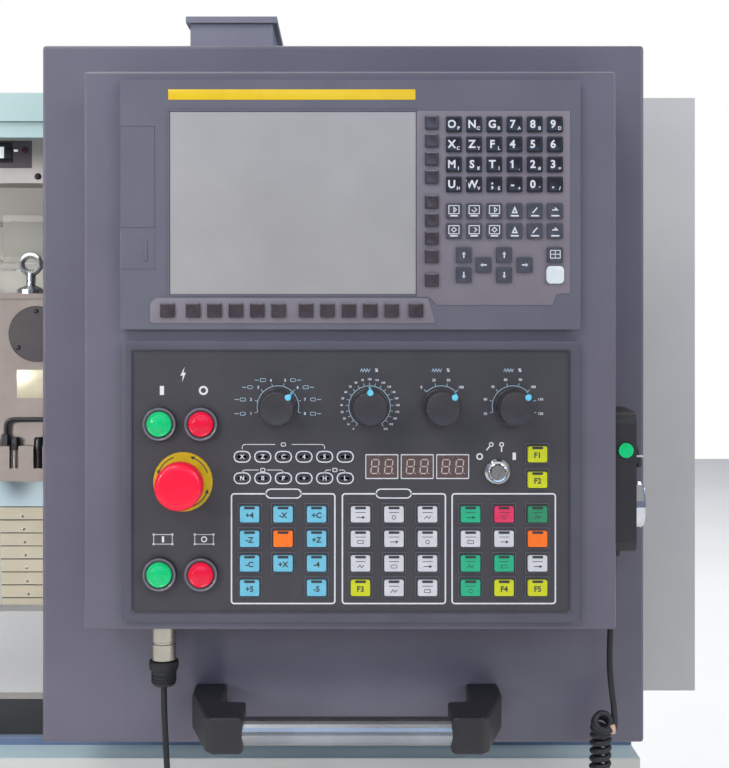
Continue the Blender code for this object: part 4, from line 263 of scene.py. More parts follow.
def glowing(name, code, strength):
    """A lit face: its colour comes from inside, over a dull cover with fine grain."""
    made = surface(name, (code, code), (0.35, 0.5), 10, 0.6, 0.004)
    shader = made.node_tree.nodes["Principled BSDF"]
    shader.inputs["Emission Color"].default_value = tone(code)
    shader.inputs["Emission Strength"].default_value = strength
    return made


# Sheets over lamps and displays: the work lamp's dark cover, its red sensor, the door's window that lets
# the inside show, the brown window of the displays and the dark lenses of the indicators.
lamp_shade = glass("dark_lamp_cover", "6E656B", 0.16, 0.0)
sensor_red = glass("dark_red_sensor", "5E2E36", 0.12, 0.0)
window_glass = glass("tinted_polycarbonate", "4A5254", 0.06, 0.75)
led_window = glass("brown_display_window", "5E4D4B", 0.22, 0.0)
lamp_lens = glass("dark_indicator_lens", "3A373C", 0.26, 0.0)
# Lit faces: the displays' faint segments, and the soft white of the work lamp.
led_digit = glowing("display_segments", "B7A6A2", 0.15)
lamp_glow = glowing("frosted_lamp_glass", "E9F0F2", 0.55)


# Mesh making

def mesh_of(bm):
    """A mesh with its faces pointing out, from a bmesh."""
    bmesh.ops.recalc_face_normals(bm, faces=bm.faces)
    mesh = bpy.data.meshes.new("shape")
    bm.to_mesh(mesh)
    bm.free()
    return mesh


def stack(rings, axis="Y", closed=True):
    """Outlines of equal count in the two axes besides `axis`, in the order X, Y, Z, joined one by one."""
    at = "XYZ".index(axis)
    bm = bmesh.new()
    made = []
    for outline, along in rings:
        ring = []
        for a, b in outline:
            point = [a, b]
            point.insert(at, along)
            ring.append(bm.verts.new(point))
        made.append(ring)
    for one, two in zip(made, made[1:]):
        for i in range(len(one)):
            j = (i + 1) % len(one)
            bm.faces.new((one[i], one[j], two[j], two[i]))
    if closed:
        bm.faces.new(made[0])
        bm.faces.new(made[-1])
    return mesh_of(bm)


def prism(outline, axis, low, high):
    """An outline drawn out along an axis."""
    return stack([(outline, low), (outline, high)], axis)


def block(x, y, z):
    """A box between two ends on each axis."""
    return prism(((x[0], y[0]), (x[1], y[0]), (x[1], y[1]), (x[0], y[1])), "Z", *z)


def arc(centre, radius, start, turn, steps):
    """Points on an arc, angles in degrees."""
    angles = [math.radians(start + turn * i / steps) for i in range(steps + 1)]
    return [(centre[0] + radius * math.cos(t), centre[1] + radius * math.sin(t)) for t in angles]


def rounded(a, b, radius, steps=3):
    """The outline of a rectangle with round corners, between two ends on each axis."""
    corners = ((a[1], b[1], 0), (a[0], b[1], 90), (a[0], b[0], 180), (a[1], b[0], 270))
    points = []
    for x, y, start in corners:
        inner = (x - math.copysign(radius, x - sum(a) / 2), y - math.copysign(radius, y - sum(b) / 2))
        points += arc(inner, radius, start, 90, steps)
    return points


def turned(axis, centre, profile, sides=48):
    """A profile of (place along the axis, radius) points turned about it, open where it ends off it."""
    at = "XYZ".index(axis)
    bm = bmesh.new()
    rings = []
    for along, radius in profile:
        ring = []
        for i in range(sides if radius > 0 else 1):
            angle = math.tau * i / sides
            point = [centre[0] + radius * math.cos(angle), centre[1] + radius * math.sin(angle)]
            point.insert(at, along)
            ring.append(bm.verts.new(point))
        rings.append(ring)
    for one, two in zip(rings, rings[1:]):
        for i in range(sides):
            j = (i + 1) % sides
            corners = [one[i % len(one)], one[j % len(one)], two[j % len(two)], two[i % len(two)]]
            bm.faces.new(list(dict.fromkeys(corners)))
    return mesh_of(bm)


def softened(mesh, width, segments=2, angle=30.0):
    """The mesh with its sharp edges bevelled."""
    bm = bmesh.new()
    bm.from_mesh(mesh)
    sharp = [e for e in bm.edges if e.calc_face_angle(0) > math.radians(angle)]
    bmesh.ops.bevel(bm, geom=sharp, offset=width, segments=segments, profile=0.5, affect="EDGES")
    return mesh_of(bm)


def together(meshes):
    """Several meshes as one."""
    bm = bmesh.new()
    for mesh in meshes:
        bm.from_mesh(mesh)
    return mesh_of(bm)


def moved(mesh, matrix):
    """The mesh after a turn or a shift."""
    mesh.transform(matrix)
    return mesh


def piece(name, mesh, look, body, stands_for=(), smooth=35.0):
    """An object with a finish that rides on a body of the machine."""
    made = bpy.data.objects.new(name, mesh)
    bpy.context.scene.collection.objects.link(made)
    mesh.name = name
    mesh.materials.append(look)
    mesh.shade_smooth()
    mesh.set_sharp_from_angle(angle=math.radians(smooth))
    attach(made, body)
    if stands_for:
        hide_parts(*stands_for)
    return made


def spot(u, v):
    """A point of the console's face, from millimetres right of and above its middle."""
    return CONSOLE_X + u * MM, CONSOLE_Z + v * MM


def from_photo(x, y):
    """Millimetres on the console's face from a pixel of the photograph."""
    return (x - MIDDLE_PX[0]) * PIXEL_MM, (MIDDLE_PX[1] - y) * PIXEL_MM


def ribbon(path, width, face, closed=False, layer=INK):
    """A printed line of that width through points of the console, as a layer on a face at that depth."""
    points = [Vector(p) for p in path]
    count = len(points)
    normals = []
    for i in range(count if closed else count - 1):
        along = (points[(i + 1) % count] - points[i]).normalized()
        normals.append(Vector((-along.y, along.x)))
    left, right = [], []
    for i, point in enumerate(points):
        before = normals[i - 1] if closed or i else normals[0]
        after = normals[i] if i < len(normals) else normals[-1]
        out = (before + after).normalized()
        out *= width / 2 / max(out.dot(after), 0.4)
        left.append(point + out)
        right.append(point - out)
    bm = bmesh.new()
    rings = []
    for i in range(count):
        ring = []
        for edge, depth in ((left, -layer), (right, -layer), (right, SINK), (left, SINK)):
            x, z = spot(*edge[i])
            ring.append(bm.verts.new((x, face + depth, z)))
        rings.append(ring)
    for i in range(count if closed else count - 1):
        one, two = rings[i], rings[(i + 1) % count]
        for k in range(4):
            n = (k + 1) % 4
            bm.faces.new((one[k], one[n], two[n], two[k]))
    if not closed:
        bm.faces.new(rings[0])
        bm.faces.new(rings[-1])
    return mesh_of(bm)


def patch(outline, face, layer=INK):
    """A printed area of the console's face."""
    return prism([spot(*p) for p in outline], "Y", face - layer, face + SINK)


def box_line(u, v, width, height, radius, line, face):
    """A printed rectangle outline with round corners about a middle."""
    path = rounded((u - width / 2, u + width / 2), (v - height / 2, v + height / 2), radius)
    return ribbon(path, line, face, True)


def lettering(rows):
    """Letters and numbers as one mesh, from rows of (text, u, v, height in mm, face)."""
    made = []
    for text, u, v, height, face in rows:
        curve = bpy.data.curves.new("letters", "FONT")
        curve.body = text
        curve.align_x, curve.align_y = "CENTER", "CENTER"
        curve.size = height * MM / CAPITAL_SHARE
        curve.offset = height * MM * BOLDNESS
        curve.extrude = INK
        curve.resolution_u = 3
        held = bpy.data.objects.new("letters", curve)
        bpy.context.scene.collection.objects.link(held)
        made.append((held, (*spot(u, v), face)))
    graph = bpy.context.evaluated_depsgraph_get()
    meshes = []
    for held, (x, z, face) in made:
        mesh = bpy.data.meshes.new_from_object(held.evaluated_get(graph))
        meshes.append(moved(mesh, Matrix.Translation((x, face, z)) @ Matrix.Rotation(math.pi / 2, 4, "X")))
    whole = together(meshes)
    for held, _ in made:
        bpy.data.objects.remove(held)
    return whole


def key_top(u, v, width, height, base, front, radius=1.0, dish=0.15, rim=0.5):
    """One key cap: straight sides, a rounded edge and a top that dips a little."""
    levels = (
        (0, base),
        (0, front + rim * 0.8 * MM),
        (rim * 0.3, front + rim * 0.25 * MM),
        (rim, front),
        (rim + 1.6, front + dish * MM),
    )
    rings = []
    for inset, y in levels:
        a = (width / 2 - inset, height / 2 - inset)
        corner = max(radius - inset * 0.5, 0.15)
        outline = rounded((u - a[0], u + a[0]), (v - a[1], v + a[1]), corner)
        rings.append(([spot(*p) for p in outline], y))
    return stack(rings)


def studs(places, axis, base, radius, rise, sides=20):
    """Round screw heads or rivets with a rounded edge, standing from a base along an axis."""
    shares = ((0, 1), (0.6, 1), (0.9, 0.85), (1, 0.6), (1, 0))
    profile = [(base + rise * up, radius * out) for up, out in shares]
    return together([turned(axis, centre, profile, sides) for centre in places])


def risen(centre, face, profile, sides):
    """A profile of (rise from a face, radius) points in mm, turned about a line that stands on the face."""
    return turned("Y", centre, [(face - rise * MM, radius * MM) for rise, radius in profile], sides)


def stroke(u, v, steps, width, face, closed=False):
    """A printed line through steps of so many mm from a middle."""
    return ribbon([(u + a, v + b) for a, b in steps], width, face, closed)


def about(u, v, radius, degrees):
    """A point round a middle, its angle in degrees to the right of straight up."""
    t = math.radians(degrees)
    return u + radius * math.sin(t), v + radius * math.cos(t)


def zigzag(u, v, swing, count):
    """The points of a fine wave that starts at a place and runs to the right."""
    return [(u + 1.2 * k, v + (swing if k % 2 else -swing)) for k in range(count)]


def on_display(name, meshes, look):
    """A piece of the display unit, from one mesh or several."""
    piece(name, together(meshes), look, "console")


def on_panel(name, meshes, look):
    """A piece of the operator panel, from one mesh or several."""
    piece(name, together(meshes), look, "console")


# Cord from the console's socket to the hand unit, as it hangs

LOWER_ROUTE = (
    (0.7708, 1.0130), (0.7712, 0.9883), (0.7735, 0.9400), (0.7765, 0.8820), (0.7800, 0.8143),
    (0.7850, 0.7467), (0.7940, 0.6790), (0.8110, 0.6113), (0.8420, 0.5533), (0.8900, 0.5127),
    (0.9450, 0.4953), (1.0000, 0.4953), (1.0550, 0.5108), (1.1050, 0.5456), (1.1400, 0.5920),
    (1.1540, 0.6258), (1.1560, 0.6497),
)
UPPER_ROUTE = (
    (1.1750, 0.9970), (1.1736, 1.0080), (1.1724, 1.0200), (1.1716, 1.0363), (1.1722, 1.0620),
    (1.1737, 1.0900), (1.1747, 1.1130), (1.1750, 1.1307),
)
CURL_TOP = (1.1636, 0.9695)
CORD_Y = -0.800
CORD_RADIUS = 0.00275
# The curly part: the radius of its turns, and the bend at its top with that bend's angle
CURL_MEAN = 0.00725
CURL_BEND = 0.016
CURL_TURN = math.radians(80)
CURL_PITCH = 0.0070
TURN_POINTS = 14
# The first turn is drawn out by so much, so that the straight lead swings into the curl without a kink.
ENTRY_STRETCH = 0.018
# Steps in mm from the curl's end to the upper lead, and points to each step
TAIL_STEPS = ((4.0, 0.7, -0.6), (8.2, 4.2, -0.4), (11.4, 8.8, 2.2))
HOOK_PARTS = 5
LOWER_POINTS = 40
UPPER_POINTS = 22


def smooth_line(points, parts):
    """Points on a smooth curve through the given points, so many parts to each span."""
    ends = [2 * points[0] - points[1]] + points + [2 * points[-1] - points[-2]]
    fine = []
    for i in range(len(points) - 1):
        p0, p1, p2, p3 = ends[i : i + 4]
        for k in range(parts):
            t = k / parts
            bend = (2 * p0 - 5 * p1 + 4 * p2 - p3) * t**2 + (3 * p1 - p0 - 3 * p2 + p3) * t**3
            fine.append((2 * p1 + (p2 - p0) * t + bend) / 2)
    return fine + [points[-1]]


def on_cord_plane(place):
    """A point of the plane that the cord hangs in, from its (x, z)."""
    return Vector((place[0], CORD_Y, place[1]))


def along_route(route, count):
    """Points evenly along a smooth curve through a lead's (x, z) points."""
    fine = smooth_line([on_cord_plane(place) for place in route], 24)
    return [fine[round(i * (len(fine) - 1) / (count - 1))] for i in range(count)]


def curl_axis(low, high, far):
    """A point of the curly part's axis and its direction: straight up, then bent towards the front."""
    way = high - low
    if far <= way.length:
        return low + way * far / way.length, way.normalized()
    turn = (far - way.length) / CURL_BEND
    ahead = Vector((0, -CURL_BEND * (1 - math.cos(turn)), CURL_BEND * math.sin(turn)))
    return high + ahead, Vector((0, -math.sin(turn), math.cos(turn)))


def curl_points(low, high):
    """The curly part from its foot to its bent top: the first turn grows out of the straight lead."""
    whole = (high - low).length + CURL_BEND * CURL_TURN
    steps = round((whole - ENTRY_STRETCH) / CURL_PITCH) * TURN_POINTS
    right = Vector((1, 0, 0))
    curl = []
    for i in range(1, steps + 1):
        grown = min(1, i / TURN_POINTS)
        risen_by = ENTRY_STRETCH * (1 - (1 - grown) ** 3) + (whole - ENTRY_STRETCH) * i / steps
        middle, along = curl_axis(low, high, risen_by)
        far = CURL_MEAN * grown**2 * (3 - 2 * grown)
        angle = math.tau * (i - steps) / TURN_POINTS - math.pi / 2
        over = along.cross(right)
        curl.append(middle + far * (right * math.cos(angle) + over * math.sin(angle)))
    return curl


def make_cord():
    """One cord: straight lead, curly part with its top bent to the front, and lead to the hand unit."""
    curl = curl_points(on_cord_plane(LOWER_ROUTE[-1]), on_cord_plane(CURL_TOP))
    tail = [curl[-1] + Vector(step) * MM for step in TAIL_STEPS]
    ends = [curl[-2], curl[-1], *tail] + [on_cord_plane(place) for place in UPPER_ROUTE[:2]]
    hook = smooth_line(ends, HOOK_PARTS)[HOOK_PARTS : -HOOK_PARTS - 1]
    lower = along_route(LOWER_ROUTE, LOWER_POINTS)
    points = lower + curl[:-1] + hook + along_route(UPPER_ROUTE, UPPER_POINTS)
    curve = bpy.data.curves.new("hand_unit_cord", "CURVE")
    curve.dimensions = "3D"
    curve.bevel_depth = CORD_RADIUS
    curve.bevel_resolution = 3
    curve.use_fill_caps = True
    spline = curve.splines.new("POLY")
    spline.points.add(len(points) - 1)
    for held, point in zip(spline.points, points):
        held.co = (*point, 1)
    spline.use_smooth = True
    curve.materials.append(cord_rubber)
    cord = bpy.data.objects.new("hand_unit_cord", curve)
    bpy.context.scene.collection.objects.link(cord)
    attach(cord, "console")
    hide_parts("mpg_lead_lower", "mpg_curly_cord", "mpg_lead_upper")
    make_connector()
    band = tail[1]
    rings = ((-2.2, 2.7), (-2.2, 3.8), (-1.5, 4.3), (1.5, 4.3), (2.2, 3.8), (2.2, 2.7))
    clip = turned("X", (band.y, band.z), [(band.x + a * MM, r * MM) for a, r in rings], 24)
    piece("cord_clip", clip, tie_beige, "console")


def make_connector():
    """The round plug under the console: knurled nut, shell with a groove, black collar and a blunt boot."""
    axis = (LOWER_ROUTE[0][0], CORD_Y)
    top = 1.0744
    teeth = 96
    nut = []
    for i in range(teeth):
        far = 0.0125 if i % 4 < 2 else 0.0121
        angle = math.tau * i / teeth
        nut.append((axis[0] + far * math.cos(angle), axis[1] + far * math.sin(angle)))
    shell = (
        (6.4, 0), (6.4, 11.0), (20.0, 11.0), (20.7, 10.2), (22.0, 10.2),
        (22.7, 11.0), (36.6, 11.0), (37.4, 10.2), (37.6, 0),
    )
    metal = turned("Z", axis, [(top - drop * MM, radius * MM) for drop, radius in shell])
    knurled = prism(nut, "Z", top - 0.0065, top - 0.0002)
    shape = together([knurled, metal])
    body = piece("connector_shell", shape, nickel, "console", ["cord_connector"])
    profile = [(37.6, 0), (37.7, 12.5), (38.6, 13.2), (44.4, 13.2), (45.4, 12.6), (46.2, 11.6)]
    profile.append((47.6, 11.3))
    for drop in (49.6, 52.4, 55.2):
        profile += [(drop, 11.3), (drop + 0.3, 10.6), (drop + 1.2, 10.6), (drop + 1.5, 11.2)]
    profile += [(58.4, 10.6), (60.2, 9.0), (61.0, 6.6), (61.1, 4.4), (61.1, 2.8)]
    rubber = turned("Z", axis, [(top - drop * MM, radius * MM) for drop, radius in profile])
    boot = piece("connector_boot", rubber, cord_rubber, "console")
    return [body, boot]


make_cord()


# Display unit

def make_display():
    """The display unit: keypad zone, soft keys' strip, stripe, screen frame, port cover and keys."""
    face = DISPLAY_FACE
    zone = (
        (416.6, 110.8), (569.9, 110.8), (569.9, 292.9), (556.6, 294.0),
        (552.0, 305.0), (436.4, 305.0), (429.0, 296.8), (416.6, 296.8),
    )
    strip = (
        (150.0, 303.0), (156.0, 297.9), (428.0, 297.9), (435.0, 321.5),
        (433.6, 323.4), (152.0, 323.4), (150.0, 321.0),
    )
    for name, outline, rise in (("keypad_zone", zone, 0.0006), ("soft_key_strip", strip, 0.0007)):
        raised = patch([from_photo(*p) for p in outline], face, rise)
        on_display(name, [softened(raised, 0.0003)], zone_plastic)
    yellow = patch(rounded((-156.7, 56.0), (216.0, 224.9), 0.4), face, 0.0003)
    on_display("yellow_stripe", [softened(yellow, 0.0001)], stripe_yellow)
    frames = []
    for inset, width, layer in ((-0.9, 1.4, 0.0005), (-2.6, 0.5, 0.0002)):
        path = rounded((-155.4 + inset, 56.7 - inset), (48.6 + inset, 206.0 - inset), 0.8)
        frames.append(ribbon(path, width, face, True, layer))
    on_display("screen_frame", frames, bezel_plastic)
    port_door = key_top(-183.0, 86.2, 30.0, 32.2, face, face - 0.0004, 0.8, 0.0, 0.3)
    port_grip = key_top(-176.0, 86.2, 3.0, 18.0, face, face - 0.0012, 0.6, 0.3, 0.4)
    on_display("port_cover", [port_door, port_grip], bezel_plastic)
    make_display_keys(face)


def data_key_places():
    """Middles of the data keys in rows, then of the cursor, page, help and reset keys."""
    rows = [194.7 - 17.2 * i for i in range(4)] + [120.3, 103.1]
    data = [[(88.9 + 17.4 * c, v) for c in range(6)] for v in rows]
    cursor = {"left": (114.4, 73.9), "right": (149.8, 73.9), "up": (132.1, 82.45), "down": (132.1, 65.35)}
    page = {"up": (97.4, 82.45), "down": (97.4, 65.35)}
    return data, cursor, page, (175.9, 82.45), (175.9, 65.35)


def make_display_keys(face):
    """Caps over the keys, with their letters, numbers and small pictures, and a painted highlight along the
    top edge of each soft key.
    """
    data, cursor, page, help_key, reset = data_key_places()
    front = face - 0.0029
    top = front + 0.0003
    letter_keys = [place for row in data[:4] for place in row]
    edit_keys = data[4] + data[5] + [*cursor.values(), *page.values(), help_key]
    for name, places, look in (
        ("data_key_caps", letter_keys, key_black),
        ("edit_key_caps", edit_keys, key_grey),
    ):
        on_display(name, [key_top(u, v, 13.4, 13.4, face, front, 0.9, 0.35, 0.7) for u, v in places], look)
    on_display("reset_key_cap", [key_top(*reset, 15.2, 15.2, face, front, 3.4, -0.2, 0.8)], key_white)
    soft = [(-157.2, 34.9), (56.5, 34.9)]
    soft += [(start + 18.4 * i, 34.9) for start in (-135.2, -38.0) for i in range(5)]
    side = [(69.9, start - 15.6 * i) for start in (196.3, 128.1) for i in range(4)] + [(69.9, 60.9)]
    caps, edges = [], []
    for places, size, half, rise in ((soft, 12.4, 5.2, 5.6), (side, 11.8, 4.9, 5.3)):
        caps += [key_top(u, v, size, size, face, front, 0.9, 0.3, 0.7) for u, v in places]
        line = ((-half, rise), (half, rise))
        # A grey line along the top edge of each soft key: a painted highlight.
        edges += [stroke(u, v, line, 0.45, front + 0.00008) for u, v in places]
    on_display("soft_key_caps", caps, key_smoke)
    on_display("soft_key_painted_highlights", edges, top_edge_painted_highlight)
    main = ("ONG789", "XZF456", "MST123", "UW;-0.")
    small = ("PQRABD", "CYL   ", "IKJ,#=", "HVE+*/")
    rows = []
    for places, line, below in zip(data, main, small):
        for (u, v), big, little in zip(places, line, below):
            rows.append((big, u - 1.9, v - 0.2, 6.6, top))
            if little.strip():
                rows.append((little, u + 3.9, v - 3.6, 3.0, top))
    flag = stroke(*data[2][3], ((-3.9, 1.3), (-2.2, 2.7)), 1.0, top)
    on_display("key_letters", [lettering(rows), flag], ink_white)
    on_display("key_pictures", key_pictures(data[4:], cursor, page, help_key, top), ink_white)
    arrow = stroke(*reset, ((-4.2, -1.2), (-0.5, -1.2), (-2.0, 1.4)), 0.6, top)
    slash = stroke(*reset, ((0.4, -1.8), (4.0, 2.0)), 0.6, top)
    on_display("reset_key_picture", [arrow, slash], ink_dark)


def key_pictures(edit_rows, cursor, page, help_key, top):
    """Small pictures: pages and pens on edit keys, arrows on cursor and page keys, a grid for help."""
    diamond = ((0, 2.0), (2.2, 0), (0, -2.0), (-2.2, 0))
    signs = {
        3: ((-1.8, -1.5), (0, 2.8), (1.8, -1.5)),
        4: ((-2.0, -1.8), (2.0, 2.8)),
        5: ((-2.6, 0.8), (1.6, 0.8), (-0.4, 2.8)),
    }
    marks = []
    for r, places in enumerate(edit_rows):
        for c, (u, v) in enumerate(places):
            if c < 3:
                marks.append(box_line(u, v + 1.0, 8.8, 7.0, 0.4, 0.7, top))
                marks.append(stroke(u, v, ((-3.2, -4.2), (3.2, -4.2)), 1.2, top))
                marks.append(stroke(u, v + 1, diamond[: 3 + (c + r) % 2], 0.7, top, c != 1))
            else:
                marks.append(stroke(u, v, ((-3.4, -4.2), (3.4, -4.2)), 1.2, top))
                marks.append(stroke(u, v, signs[c], 1.1, top, c == 3))
    turns = {"right": 0, "up": 90, "left": 180, "down": 270}
    for way, (u, v) in [*cursor.items(), *page.items()]:
        t = math.radians(turns[way])
        a, b = math.cos(t), math.sin(t)
        marks.append(stroke(u, v, ((-2.6 * a, -2.6 * b), (1.4 * a, 1.4 * b)), 1.1, top))
        neck_u, neck_v = u + 0.6 * a, v + 0.6 * b
        left, right = (neck_u - 1.7 * b, neck_v + 1.7 * a), (neck_u + 1.7 * b, neck_v - 1.7 * a)
        marks.append(patch([(u + 2.9 * a, v + 2.9 * b), left, right], top))
    u, v = help_key
    marks.append(box_line(u, v + 0.6, 8.4, 6.6, 0.4, 0.7, top))
    marks += [stroke(u, v, line, 0.7, top) for line in (((-4, 0.6), (4, 0.6)), ((0, -2.6), (0, 3.8)))]
    return marks


# Operator panel

KNOB_ROW = -48.0
# Each knob's name, place along the row, and the turn of its pointer from straight up
KNOBS = (
    ("mode_knob", -62.3, 45.0),
    ("feed_knob", 16.6, 0.0),
    ("rapid_knob", 78.3, 45.0),
    ("spindle_knob", 140.1, 45.0),
)
MODE_U, FEED_U, RAPID_U, SPINDLE_U = (knob[1] for knob in KNOBS)
DIAL_INNER, DIAL_OUTER = 17.9, 20.6
# For each dial its place along the row, the first number's angle, the angle from one number to the next,
# the numbers, their height, their distance outside the ticks, and the two ends of the arc
DIALS = (
    (MODE_U, -105, 30, range(1, 9), 2.4, 3.4, (-105, 105)),
    (FEED_U, -145, 14.5, range(0, 210, 10), 1.7, 3.6, (-145, 145)),
    (RAPID_U, -45, 30, (0, 25, 50, 100), 2.2, 3.6, (-45, 45)),
    (SPINDLE_U, -105, 30, range(50, 130, 10), 2.1, 4.0, (-105, 45)),
)


def dial(u, first, pitch, labels, height, out, ends):
    """A dial's printed arc, ticks and numbers, angles in degrees to the right of straight up."""
    path = [about(u, KNOB_ROW, DIAL_INNER, t) for t in range(ends[0], ends[1] + 1, 5)]
    lines = [ribbon(path, 0.55, PANEL_FACE)]
    rows = []
    for i, label in enumerate(labels):
        t = first + pitch * i
        tick = [about(u, KNOB_ROW, far, t) for far in (DIAL_INNER, DIAL_OUTER)]
        lines.append(ribbon(tick, 0.5, PANEL_FACE))
        across = about(u, KNOB_ROW, DIAL_OUTER + out, t)[0]
        up = about(u, KNOB_ROW, DIAL_OUTER + out * 0.8, t)[1]
        rows.append((str(label), across, up, height, PANEL_FACE))
    return lines, rows


def make_dials():
    """Printed dials round the four rotary switches."""
    lines, rows = [], []
    for row in DIALS:
        arcs, numbers = dial(*row)
        lines += arcs
        rows += numbers
    title_row = -16.8
    for u in (RAPID_U, SPINDLE_U, FEED_U):
        rows.append(("%", u + 6.0, title_row, 2.8, PANEL_FACE))
        lines.append(ribbon(zigzag(u - 8.0, title_row, 1.3, 8), 0.5, PANEL_FACE))
    for i in range(8):
        a = math.radians(-105 + 30 * i)
        side = -1 if i < 4 else 1
        u, v = MODE_U + 24.5 * math.sin(a) + side * 6.6, KNOB_ROW + 23.6 * math.cos(a)
        lines.append(box_line(u, v, 4.6, 2.6, 0.6 if i % 2 else 1.2, 0.4, PANEL_FACE))
        lines.append(stroke(u, v, ((side * 3.6, 0), (side * 7.0, 0)), 0.5, PANEL_FACE))
    on_panel("dial_arcs", lines, ink_dial)
    on_panel("dial_numbers", [lettering(rows)], ink_white)


def make_knobs():
    """Rotary switch knobs: a skirt, a fluted grip with a nose, a rounded top and a blue pointer."""
    seat = PANEL_FACE - 0.0003
    sides, flutes = 96, 16
    grip_rings = (
        (0.0, 16.5, 0), (3.2, 16.5, 0), (3.8, 16.2, 0), (4.2, 15.5, 0.1), (6.0, 15.2, 0.5),
        (22.5, 14.9, 0.5), (24.0, 14.5, 0.3), (24.8, 13.6, 0), (25.0, 12.8, 0),
        (24.7, 12.0, 0), (24.7, 3.0, 0),
    )
    for name, u, angle in KNOBS:
        x, z = spot(u, KNOB_ROW)
        turn = Matrix.Rotation(math.radians(angle), 4, "Y")
        lean = Matrix.Translation((x, 0, z)) @ turn @ Matrix.Translation((-x, 0, -z))
        rings = []
        for rise, radius, flute in grip_rings:
            ring = []
            for i in range(sides):
                t = math.tau * i / sides
                far = (radius - flute * (0.5 + 0.5 * math.cos(t * flutes)) ** 2) * MM
                ring.append((x + far * math.cos(t), z + far * math.sin(t)))
            rings.append((ring, seat - rise * MM))
        tip = (x, z + 0.0136)
        nose = risen(tip, seat, ((3.0, 2.9), (24.3, 2.9), (24.9, 2.4), (24.9, 0)), 24)
        grip = together([stack(rings), moved(nose, lean)])
        piece(name + "_grip", grip, knob_black, name, [name])
        across = (x - 0.0010, x + 0.0010)
        down = block(across, (seat - 0.0250, seat - 0.0030), (z + 0.0150, z + 0.0166))
        foot = block(across, (seat - 0.0040, seat - 0.0030), (z + 0.0145, z + 0.0172))
        dot = risen(tip, seat, ((24.5, 2.6), (25.3, 2.6), (25.5, 2.1), (25.5, 0)), 24)
        pointer = moved(together([down, foot, dot]), lean)
        piece(name + "_pointer", pointer, pointer_blue, name)


STOP = (-144.0, -112.7)


def make_switches():
    """Push buttons in their bezels, the emergency stop on its ring, and the collar of the key switch."""
    face = PANEL_FACE
    walls, bezels = [], []
    wall = ((0, 14.7), (4.6, 14.7), (5.2, 14.5), (5.4, 14.2), (5.4, 13.0), (2.0, 11.3))
    ring = ((5.3, 14.2), (5.8, 14.0), (5.95, 13.4), (5.8, 12.9), (5.3, 12.2), (5.1, 11.3), (4.0, 11.25))
    lens = (
        (-1.0, 0), (-1.0, 10.9), (5.0, 10.9), (6.6, 10.7), (7.3, 10.2), (7.4, 9.6),
        (6.9, 8.9), (6.9, 8.2), (7.7, 6.5), (8.2, 3.5), (8.4, 0),
    )
    for name, u, v, look, slot in (
        ("power_on_button", -164.0, -62.8, lens_green, "green_plastic"),
        ("power_off_button", -128.3, -62.8, lens_red, "red_plastic"),
        ("cycle_start_button", -164.0, -191.9, lens_green, "green_plastic"),
        ("cycle_stop_button", -128.3, -191.9, lens_red, "red_plastic"),
    ):
        centre = spot(u, v)
        walls.append(risen(centre, face, wall, 64))
        bezels.append(risen(centre, face, ring, 64))
        piece(name + "_lens", risen(centre, face, lens, 64), look, name, [name])
    on_panel("button_collars", walls, black_plastic)
    on_panel("button_bezels", bezels, bezel_metal)
    ring = ((-0.05, 25.58), (1.4, 25.58), (1.7, 25.2), (1.7, 15.05), (1.5, 14.9))
    on_panel("stop_ring", [risen(spot(*STOP), face, ring, 96)], ring_yellow)
    arrows = []
    for start in (20, 110, 200, 290):
        arrows.append(ribbon(arc(STOP, 22.6, start, 46, 12), 0.9, face - 0.0017))
        head = [arc(STOP, r, start + t, 0, 1)[0] for r, t in ((22.6, 54), (24.4, 45), (20.8, 45))]
        arrows.append(patch(head, face - 0.0017))
    on_panel("stop_ring_arrows", arrows, ink_dark)
    head = (
        (-0.2, 0), (-0.2, 8.9), (16.4, 8.9), (16.6, 18.4), (17.2, 19.5), (18.2, 19.95), (20.0, 20.0),
        (33.6, 20.0), (35.4, 19.4), (36.6, 18.0), (37.2, 16.0), (37.4, 13.4), (37.5, 9.0), (37.5, 0),
    )
    mushroom = risen(spot(*STOP), face, head, 96)
    piece("estop_mushroom", mushroom, estop_red, "estop_button", ["estop_button"])
    collar = (
        (0, 11.0), (1.2, 11.0), (1.8, 10.4), (2.2, 9.9), (4.1, 9.8),
        (4.6, 9.2), (4.6, 7.6), (4.0, 6.7), (3.0, 6.6),
    )
    on_panel("lock_collar", [risen(spot(126.8, -103.9), face, collar, 64)], chrome)


def make_hand_unit_grip():
    """The finger grip of the hand unit's selector, with its white mark."""
    grip = softened(block((1.1950, 1.1990), (-0.8075, -0.7955), (1.2102, 1.2222)), 0.0012, 3)
    piece("selector_grip", grip, knob_black, "console")
    mark = block((1.1900, 1.1992), (-0.8110, -0.8050), (1.2200, 1.2216))
    piece("selector_mark", softened(mark, 0.0003), ink_white, "console")


